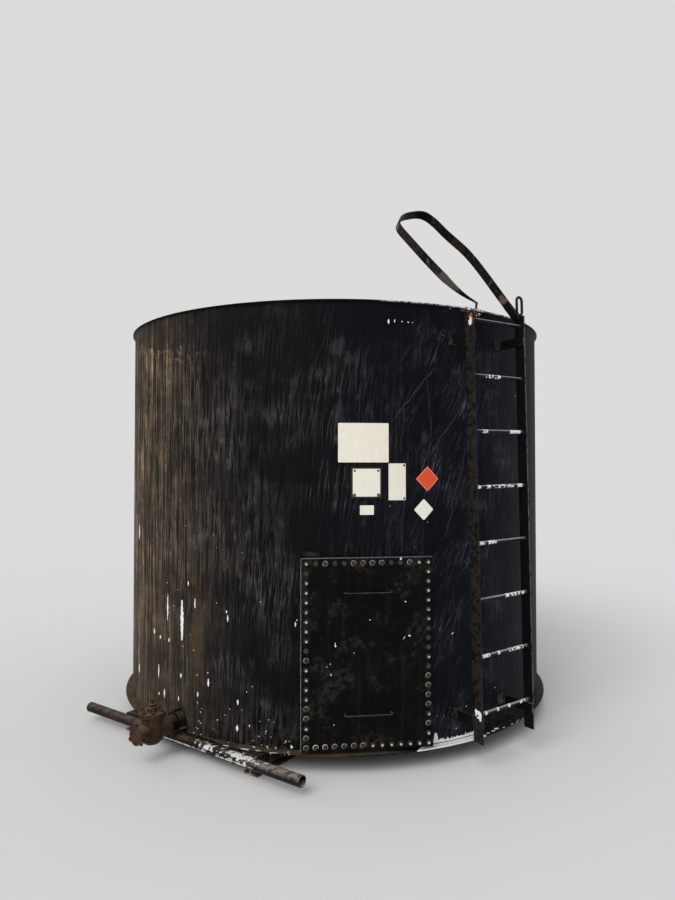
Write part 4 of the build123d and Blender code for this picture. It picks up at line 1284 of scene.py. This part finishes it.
def undercoat():
    """The pale undercoat that shows where the coating is gone."""
    coat = Coating("undercoat, bare", specular=0.35)
    point = coat.point
    grime = grain(point, 60.0, 4.0, 0.65).ranged(0.55, 0.80)
    tone = blend(grime * 0.4, (0.90, 0.895, 0.87), (0.55, 0.49, 0.41))
    tone = blend(grain(point, 180.0, 3.0).ranged(0.66, 0.70), tone, (0.05, 0.045, 0.04))
    return coat.finish(tone, grime.ranged(0.0, 1.0, 0.55, 0.8), grain(point, 220.0), 0.0003)


def ragged_leaf(bm, width, length, seed, sharp):
    """A leaf-shaped patch in the xy plane, long in y, with a ragged edge."""
    step = min(CHIP_CELL, width / 5)
    bmesh.ops.create_grid(bm, x_segments=max(4, round(width / step)),
                          y_segments=max(4, round(length / step)), size=0.5)
    bmesh.ops.scale(bm, vec=(width * 1.1, length * 1.04, 1), verts=bm.verts)
    outside = []
    for face in bm.faces:
        middle = face.calc_center_median()
        shake = noise.noise(Vector((middle.x * 90, middle.y * 60, seed))) * 0.45
        reach = abs(middle.x * 2 / width) ** 2 + abs(middle.y * 2 / length) ** sharp
        if reach > 1.0 + shake:
            outside.append(face)
    bmesh.ops.delete(bm, geom=outside, context="FACES")
    for repeat in range(2):
        bmesh.ops.smooth_vert(bm, verts=bm.verts, factor=0.5, use_axis_x=True, use_axis_y=True)


def add_part(bm, part):
    """Adds a small bmesh to a larger one."""
    mesh = bpy.data.meshes.new("part")
    part.to_mesh(mesh)
    part.free()
    bm.from_mesh(mesh)
    bpy.data.meshes.remove(mesh)


def lay_chip(bm, place, width, length, seed, turn=0.0, finish=0, sharp=1.35):
    """A chip, sized in mm and turned in its plane. Its place is a frame, or an azimuth, a
    height and a distance off the wall that it is wrapped on."""
    part = bmesh.new()
    ragged_leaf(part, width / 1000, length / 1000, seed, sharp)
    thicken(part, CHIP_T)
    bmesh.ops.rotate(part, verts=part.verts, matrix=Matrix.Rotation(math.radians(turn), 3, "Z"))
    if isinstance(place, Matrix):
        bmesh.ops.transform(part, matrix=place, verts=part.verts)
    else:
        wrap_on_wall(part.verts, *place)
    for face in part.faces:
        face.material_index = finish
    add_part(bm, part)


bare_white = undercoat()
print("chip helpers are ready")

# %% [markdown]
# ## Chips on the wall
# The long leaves at the lower left are the photograph's own. Fine spray between them is
# drawn by chance from a fixed seed, denser near the ground, and the back gets its share.

# %% Wall chips
CHIPS = (  # azimuth, height, width and length in mm
    (-67.0, 341, 24, 58), (-54.1, 401, 13, 92), (-50.2, 803, 16, 156), (-44.7, 744, 27, 250),
    (-40.4, 855, 12, 52), (-36.3, 421, 14, 46), (-31.1, 795, 9, 40), (-31.4, 832, 8, 20),
    (-45.0, 425, 13, 30), (-51.4, 286, 15, 54), (-45.8, 288, 10, 30), (-39.4, 343, 11, 28),
    (-28.5, 344, 11, 33), (-28.6, 201, 15, 38), (-25.6, 224, 7, 15), (-67.8, 1210, 26, 98),
    (-56.5, 633, 17, 36), (-53.4, 611, 14, 26), (-49.6, 610, 13, 24), (-42.6, 963, 10, 29),
    (-15.3, 788, 9, 28), (-15.0, 811, 6, 10), (-16.1, 133, 15, 22), (-53.9, 271, 12, 20),
    (4.8, 2430, 11, 27), (6.2, 2434, 6, 20), (7.9, 2434, 7, 9), (9.3, 2432, 9, 8),
    (10.3, 2431, 6, 8), (24.0, 283, 7, 7), (26.1, 270, 7, 6), (33.5, 342, 6, 6),
    (36.5, 217, 6, 6), (25.6, 1024, 6, 6), (46.6, 2366, 10, 13), (45.5, 2361, 7, 10),
    (44.6, 2352, 5, 8), (43.4, 2070, 6, 8),
)
SPRAY = (  # how many, azimuth from and to, height from and to in mm, smallest and largest
    (24, -41.0, -16.0, 118, 260, 3, 8), (14, -52.0, -18.0, 260, 700, 3, 7),
    (10, -60.0, -20.0, 700, 2100, 3, 6), (10, 14.0, 30.0, 130, 420, 3, 6),
    (5, -6.0, 28.0, 1250, 2400, 3, 5), (60, 60.0, 290.0, 120, 1500, 4, 9),
)
chip_work = bmesh.new()
for number, (azimuth, height, width, length) in enumerate(CHIPS):
    lay_chip(chip_work, (azimuth, height / 1000, CHIP_OFF), width, length, number * 3.7)
draw = random.Random(1926)
for count, start, end, low, high, least, most in SPRAY:
    for repeat in range(count):
        azimuth = draw.uniform(start, end)
        height = low + (high - low) * draw.random() ** 1.6
        across = draw.uniform(least, most)
        lay_chip(chip_work, (azimuth, height / 1000, CHIP_OFF), across,
                 across * draw.uniform(0.8, 1.7), draw.uniform(0, 99), draw.uniform(-40, 40))
lay_chip(chip_work, (20.2, 0.706, CHIP_OFF), 5, 22, 5.5, -52.0)
wall_chips = new_piece("wall_chips", chip_work, "shell_coating", [bare_white])
print("wall chips, faces:", len(wall_chips.data.polygons))

# %% [markdown]
# ## Chips on the door
# The door is flat, so its chips need no wrapping: each is set down on a frame in the cover's
# front, measured across and up from its middle.

# %% Door chips
DOOR_CHIPS = (  # across and up from the cover's middle, width, length in mm, turn
    (205, 272, 9, 9, 0), (12, 178, 8, 8, 0), (227, 89, 9, 15, 80), (197, 77, 3, 22, -35),
    (-174, 46, 9, 16, 15), (-175, 58, 4, 10, 0), (-198, -105, 7, 14, 20), (-201, -48, 4, 8, 0),
    (-75, 6, 6, 6, 0), (-220, -63, 4, 7, 0), (-123, 323, 5, 22, 85), (-182, -369, 5, 8, 0),
    (181, 499, 12, 24, 0), (178, 484, 6, 22, 10),
)
door_chip_work = bmesh.new()
for number, (across, up, width, length, turn) in enumerate(DOOR_CHIPS):
    seat = Vector((across / 1000, cover_front - CHIP_OFF, door_middle + up / 1000))
    lay_chip(door_chip_work, frame_at(seat, RIGHT, UP), width, length, number * 4.1, turn)
new_piece("door_chips", door_chip_work, "door_coating", [bare_white])
print("door chips:", len(DOOR_CHIPS))

# %% [markdown]
# ## The bare lip beside the ladder
# To the right of the door the bottom plate's lip has lost its coating over a long stretch,
# and the white runs a little way up the wall in a torn line with two spikes. A row of chips
# would leave gaps, so this is one strip of grid laid over the plate's edge, its top line
# moved by two noises.

# %% Bare lip
LIP_FROM = 10.4
LIP_TO = 28.2
LIP_STEPS = 150
LIP_PROUD = 0.0006
LIP_DROP = 0.0064         # how far the white goes down the plate's edge
SPIKES = ((15.7, 0.060, 0.60), (26.9, 0.050, 0.7))   # azimuth, height, half width


def bare_lip(bm):
    """White undercoat over the plate's edge and lip, running up the wall in a torn line."""
    bmesh.ops.create_grid(bm, x_segments=LIP_STEPS, y_segments=3, size=0.5)
    for vert in bm.verts:
        azimuth = LIP_FROM + (vert.co.x + 0.5) * (LIP_TO - LIP_FROM)
        row = round((vert.co.y + 0.5) * 3)
        tear = noise.noise(Vector((azimuth * 2.9, 3.1, 0))) * 0.5 + 0.5
        fine = noise.noise(Vector((azimuth * 11.0, 7.7, 0))) * 0.5 + 0.5
        rise = 0.005 + 0.046 * tear * fine
        for middle, peak, half in SPIKES:
            rise += peak * max(0.0, 1 - abs(azimuth - middle) / half) ** 0.7 * (0.6 + 0.4 * fine)
        fade = min(1.0, (azimuth - LIP_FROM) / 3.5)
        inner = chime_r - (chime_r - wall_r) * fade
        heights = (-LIP_DROP, LIP_PROUD, LIP_PROUD, rise * fade)
        reaches = (chime_r, chime_r, inner + 0.001 * fade, inner)
        vert.co = out_way(azimuth) * (reaches[row] + LIP_PROUD) + UP * (plate_top + heights[row])


lip_work = bmesh.new()
bare_lip(lip_work)
bmesh.ops.recalc_face_normals(lip_work, faces=lip_work.faces)
bmesh.ops.solidify(lip_work, geom=lip_work.faces[:], thickness=0.0004)
new_piece("bare_lip", lip_work, "plate_coating", [bare_white])
print("bare lip from", LIP_FROM, "to", LIP_TO, "degrees")

# %% [markdown]
# ## Patches along the lip
# Past that stretch, and left of the door, the lip is bare only in patches. They lie flat on
# the plate, so their frame faces up and their length follows the wall.

# %% Lip flakes
LIP_CHIPS = (  # azimuth, out from the wall, across, along in mm
    (29.5, 32, 26, 18), (31.4, 28, 34, 16), (33.0, 18, 40, 22), (34.9, 36, 20, 12),
    (38.0, 40, 22, 10), (41.0, 38, 18, 8), (-26.0, 40, 60, 12), (-23.0, 36, 40, 10),
    (-19.5, 41, 50, 8), (-30.5, 38, 44, 12),
)
flake_work = bmesh.new()
for number, (azimuth, out, across, along) in enumerate(LIP_CHIPS):
    seat = out_way(azimuth) * (wall_r + out / 1000) + UP * (plate_top + CHIP_OFF)
    lay_chip(flake_work, frame_at(seat, -out_way(azimuth), side_way(azimuth)), along, across,
             number * 5.1)
new_piece("lip_flakes", flake_work, "plate_coating", [bare_white])
print("lip flakes:", len(LIP_CHIPS))

# %% [markdown]
# ## The peeled rim over the ladder
# Over the ladder's left rail the rim has been welded and knocked, and its coating hangs in
# pale and pinkish flakes. They are the same ragged leaves as the chips, smaller, laid on the
# top of the wall and over the rim's edge, with a few standing up from it.

# %% Flakes on the rim
RIM_FLAKES = 72
RIM_FLAKES_AZ = 26.3
RIM_FLAKES_SPREAD = 2.0
dusty_pink = metal("flake, dusty pink", (0.30, 0.235, 0.22), (0.055, 0.040, 0.038), 0.5, 0.85)
draw = random.Random(27)
rim_work = bmesh.new()
for number in range(RIM_FLAKES):
    azimuth = draw.gauss(RIM_FLAKES_AZ, RIM_FLAKES_SPREAD)
    width = draw.uniform(9, 24)
    length = draw.uniform(9, 20)
    turn = draw.uniform(-80, 80)
    if number % 2:
        place = (azimuth, shell_top - draw.uniform(0.004, 0.024), 0.0003)
    else:
        edge = out_way(azimuth) * (rim_r + 0.0002) + UP * (deck_edge_top - 0.003)
        lean = Matrix.Rotation(math.radians(draw.uniform(-14, 4)), 4, "X")
        place = frame_at(edge, side_way(azimuth), UP) @ lean
    lay_chip(rim_work, place, width, length, number * 2.3, turn, 0 if number % 3 else 1)
new_piece("rim_flakes", rim_work, "plate_coating", [dusty_pink, bare_white])
print("rim flakes:", RIM_FLAKES)

# %% [markdown]
# ## The ladder's welds
# Each rung passes through both rails and is welded there, inside with a fillet and outside
# with a plug. The rungs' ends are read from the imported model, because the ladder leans, and
# each weld is a short cone that a noise roughens.

# %% Rung welds
RUNG_COUNT = 8
RAIL_T = 0.0095
END_DEPTH = 0.0012
ladder_side = side_way(LADDER_AZ)
ladder_out = out_way(LADDER_AZ)


def end_middles(node_name, way):
    """Middles of a straight piece's two end faces along a direction."""
    points = [vert.co for vert in frame["nodes"][node_name].data.vertices]
    reaches = [point.dot(way) for point in points]
    ends = []
    for limit in (min(reaches), max(reaches)):
        near = [p for p, reach in zip(points, reaches) if abs(reach - limit) < END_DEPTH]
        ends.append(Vector([(min(c) + max(c)) / 2 for c in zip(*near)]))
    return ends


rungs = {number: end_middles(f"ladder_rung_{number}", ladder_side)
         for number in range(1, RUNG_COUNT + 1)}
rung_low, rung_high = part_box("ladder_rung_1")
rung_r = (rung_high.z - rung_low.z - abs(rungs[1][1].z - rungs[1][0].z)) / 2
fillet_work = bmesh.new()
for left, right in rungs.values():
    along = (right - left).normalized()
    for end, inward in ((left, along), (right, -along)):
        seat = end + inward * RAIL_T
        fillet = rod(fillet_work, seat, seat + inward * 0.005, rung_r + 0.0045, 14,
                     rung_r + 0.0004)
        roughen(fillet, 0.0009, 150.0)
        plug = rod(fillet_work, end, end - inward * 0.0016, rung_r + 0.0012, 14, rung_r - 0.003)
        roughen(plug, 0.0007, 150.0)
weld_brown = metal("weld, rusty brown", (0.022, 0.010, 0.007), (0.006, 0.005, 0.005), 0.4, 0.75)
new_piece("rung_welds", fillet_work, "ladder_coating", [weld_brown])
print("rungs:", len(rungs), "rung radius:", round(rung_r, 4))

# %% [markdown]
# ## Bare patches on the rungs
# Boots have knocked the paint off the rungs in patches, which show white. A patch is a
# sleeve a hair thicker than the rung, torn into islands by a noise.

# %% Rung patches
SLEEVE_STEP = 0.0035
WORN = (  # rung, from and to as shares of its length between the rails, share left white
    (2, 0.27, 0.56, 0.42), (3, 0.18, 0.29, 0.55), (3, 0.73, 0.95, 1.0), (4, 0.02, 0.12, 1.0),
    (4, 0.24, 0.31, 0.75), (4, 0.36, 0.78, 0.25), (4, 0.86, 0.96, 1.0), (5, 0.07, 0.17, 0.90),
    (5, 0.24, 0.40, 0.65), (6, 0.56, 0.63, 1.0), (6, 0.66, 0.94, 0.50), (7, 0.08, 0.22, 0.90),
    (7, 0.38, 0.42, 0.70), (7, 0.60, 0.90, 0.52), (8, 0.10, 0.15, 0.95), (8, 0.34, 0.37, 0.80),
    (8, 0.56, 0.60, 0.70), (8, 0.80, 0.95, 0.18),
)
sleeve_work = bmesh.new()
for rung, start, end, share in WORN:
    left, right = rungs[rung]
    along = (right - left).normalized()
    inner = left + along * RAIL_T
    run = right - along * RAIL_T - inner
    one = bmesh.new()
    rod(one, inner + run * start, inner + run * end, rung_r + 0.0006, 16)
    caps = [face for face in one.faces if len(face.verts) > 4]
    bmesh.ops.delete(one, geom=caps, context="FACES_ONLY")
    bmesh.ops.subdivide_edges(one, edges=lengthwise(one.edges, along),
                              cuts=max(1, int(run.length * (end - start) / SLEEVE_STEP)))
    torn = [face for face in one.faces
            if noise.noise(face.calc_center_median() * 75.0) * 0.5 + 0.5 > 0.30 + share * 0.48]
    bmesh.ops.delete(one, geom=torn, context="FACES")
    bmesh.ops.recalc_face_normals(one, faces=one.faces)
    bmesh.ops.solidify(one, geom=one.faces[:], thickness=0.0004)
    add_part(sleeve_work, one)
new_piece("rung_bare_patches", sleeve_work, "ladder_coating", [bare_white])
print("bare patches on the rungs:", len(WORN))

# %% [markdown]
# ## Patches on the left rail
# The left rail's outer face is bare near its top, where orange rust has started round the
# white, and near its foot. The patches overlap, so each lies a hair above the one before.

# %% Rail patches
RAIL_PATCHES = (  # share of the rail's height, depth, width, length in mm, 1 for orange
    (0.9805, 13, 38, 60, 1), (0.9900, 20, 14, 30, 1), (0.9765, 10, 24, 46, 0),
    (0.066, 8, 46, 42, 0), (0.072, -8, 20, 26, 0), (0.058, 20, 14, 30, 0),
)
orange_rust = metal("rust, orange", (0.42, 0.14, 0.035), (0.10, 0.045, 0.02), 0.25, 0.85)
foot, head = end_middles("ladder_rail_left", UP)
rail_up = (head - foot).normalized()
patch_work = bmesh.new()
for number, (share, depth, width, length, finish) in enumerate(RAIL_PATCHES):
    lift = CHIP_OFF + number * 0.0002
    spot = foot.lerp(head, share) - ladder_side * (RAIL_T / 2 + lift) + ladder_out * depth / 1000
    place = frame_at(spot, ladder_side.cross(rail_up), rail_up)
    lay_chip(patch_work, place, width, length, number * 7.3, 0.0, finish, sharp=2.2)
new_piece("rail_patches", patch_work, "ladder_coating", [bare_white, orange_rust])
print("rail patches:", len(RAIL_PATCHES))

# %% [markdown]
# ## Hardware of the valve
# The valve's bonnet is held by six bolts round its flange, and a packing nut closes its
# gland. Both use the bolt's shapes, set down round the stem.

# %% Valve bolts
BONNET_T = 0.022
GLAND_R = 0.021
VALVE_BOLTS = 6
bonnet_low, bonnet_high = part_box("valve_bonnet")
stem_low, stem_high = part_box("valve_stem")
bolt_circle = (bonnet_high.x - bonnet_low.x) / 2 * 0.76
bonnet_face = (stem_low + stem_high) / 2
bonnet_face.z = bonnet_low.z + BONNET_T


def valve_bolt_shape(bm):
    disc(bm, 0.0135, 0.003, segments=14)
    hexagon(bm, 0.019, 0.012, 0.003)
    disc(bm, 0.0060, 0.008, 0.015, segments=10)


valve_bolt_mesh = template(valve_bolt_shape)
packing_nut = template(lambda bm: hexagon(bm, 2 * GLAND_R + 0.010, 0.020, 0.006))
valve_work = bmesh.new()
for index in range(VALVE_BOLTS):
    spot = bonnet_face + side_way(360 / VALVE_BOLTS * (index + 0.5) + OUTLET_AZ) * bolt_circle
    set_down(valve_work, valve_bolt_mesh, Matrix.Translation(spot))
set_down(valve_work, packing_nut, Matrix.Translation(bonnet_face))
new_piece("valve_bolts", valve_work, "valve_iron")
print("valve bolts:", VALVE_BOLTS)

# %% [markdown]
# ## Welds on the roof
# On the roof each fitting stands in its own ring of weld, and the deck's sheets meet in one
# long bead. The deck slopes, so a ring is first laid level and each of its points is then
# lifted to the deck's height under it.

# %% Roof welds
RIM_SEAT = 0.026
HATCH_NECK_R = 0.108
DECK_SEAM_AZ = (75.0, 255.0)
vent_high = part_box("roof_vent")[1]
vent_r = vent_high.y
cone_r = rim_r - RIM_SEAT
deck_slope = (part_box("roof_deck")[1].z - deck_edge_top) / (cone_r - vent_r)
hatch_low, hatch_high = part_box("hatch_neck")
coupling_low, coupling_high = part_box("fill_coupling")


def deck_height(point):
    return deck_edge_top + deck_slope * max(0.0, cone_r - math.hypot(point[0], point[1]))


roof_work = bmesh.new()
for middle, radius in (((hatch_low + hatch_high) / 2, HATCH_NECK_R), (UP * 0, vent_r),
                       ((coupling_low + coupling_high) / 2,
                        (coupling_high.x - coupling_low.x) / 2)):
    bead_ring(roof_work, Vector((middle.x, middle.y, 0)), radius, 0.005,
              max(48, round(radius * 900)), deck_height)
merged(roof_work)
for azimuth in DECK_SEAM_AZ:
    inner = out_way(azimuth) * (vent_r + 0.01)
    outer = out_way(azimuth) * cone_r
    bead(roof_work, inner + UP * deck_height(inner), outer + UP * deck_height(outer), 0.004, 0.015)
new_piece("roof_welds", roof_work, "plate_coating")
print(f"deck slope {deck_slope:.4f}")

# %% [markdown]
# ## The vent's screen
# The gooseneck's mouth looks down and is closed against birds by crossed wires. They are
# thin rods, as long as the mouth's circle is wide where each one lies.

# %% Vent screen
WIRES = 9
WIRE_R = 0.0007
mouth_x = vent_high.x - vent_r
mouth_z = min(v.co.z for v in frame["nodes"]["roof_vent"].data.vertices
              if v.co.x > mouth_x + vent_r * 0.5)
mouth = Vector((mouth_x, 0, mouth_z + 0.003))
screen_work = bmesh.new()
for index in range(WIRES):
    shift = (index - (WIRES - 1) / 2) * 2 * vent_r / (WIRES + 1)
    reach = math.sqrt((vent_r - 0.003) ** 2 - shift ** 2)
    rod(screen_work, mouth + Vector((-reach, shift, 0)), mouth + Vector((reach, shift, 0)),
        WIRE_R, 6)
    rod(screen_work, mouth + Vector((shift, -reach, 0.0012)),
        mouth + Vector((shift, reach, 0.0012)), WIRE_R, 6)
wire_steel = metal("screen wire", (0.20, 0.19, 0.18), None, 0.4, 0.5, 0.6)
new_piece("vent_screen", screen_work, "fitting_coating", [wire_steel])
print("screen wires:", 2 * WIRES)
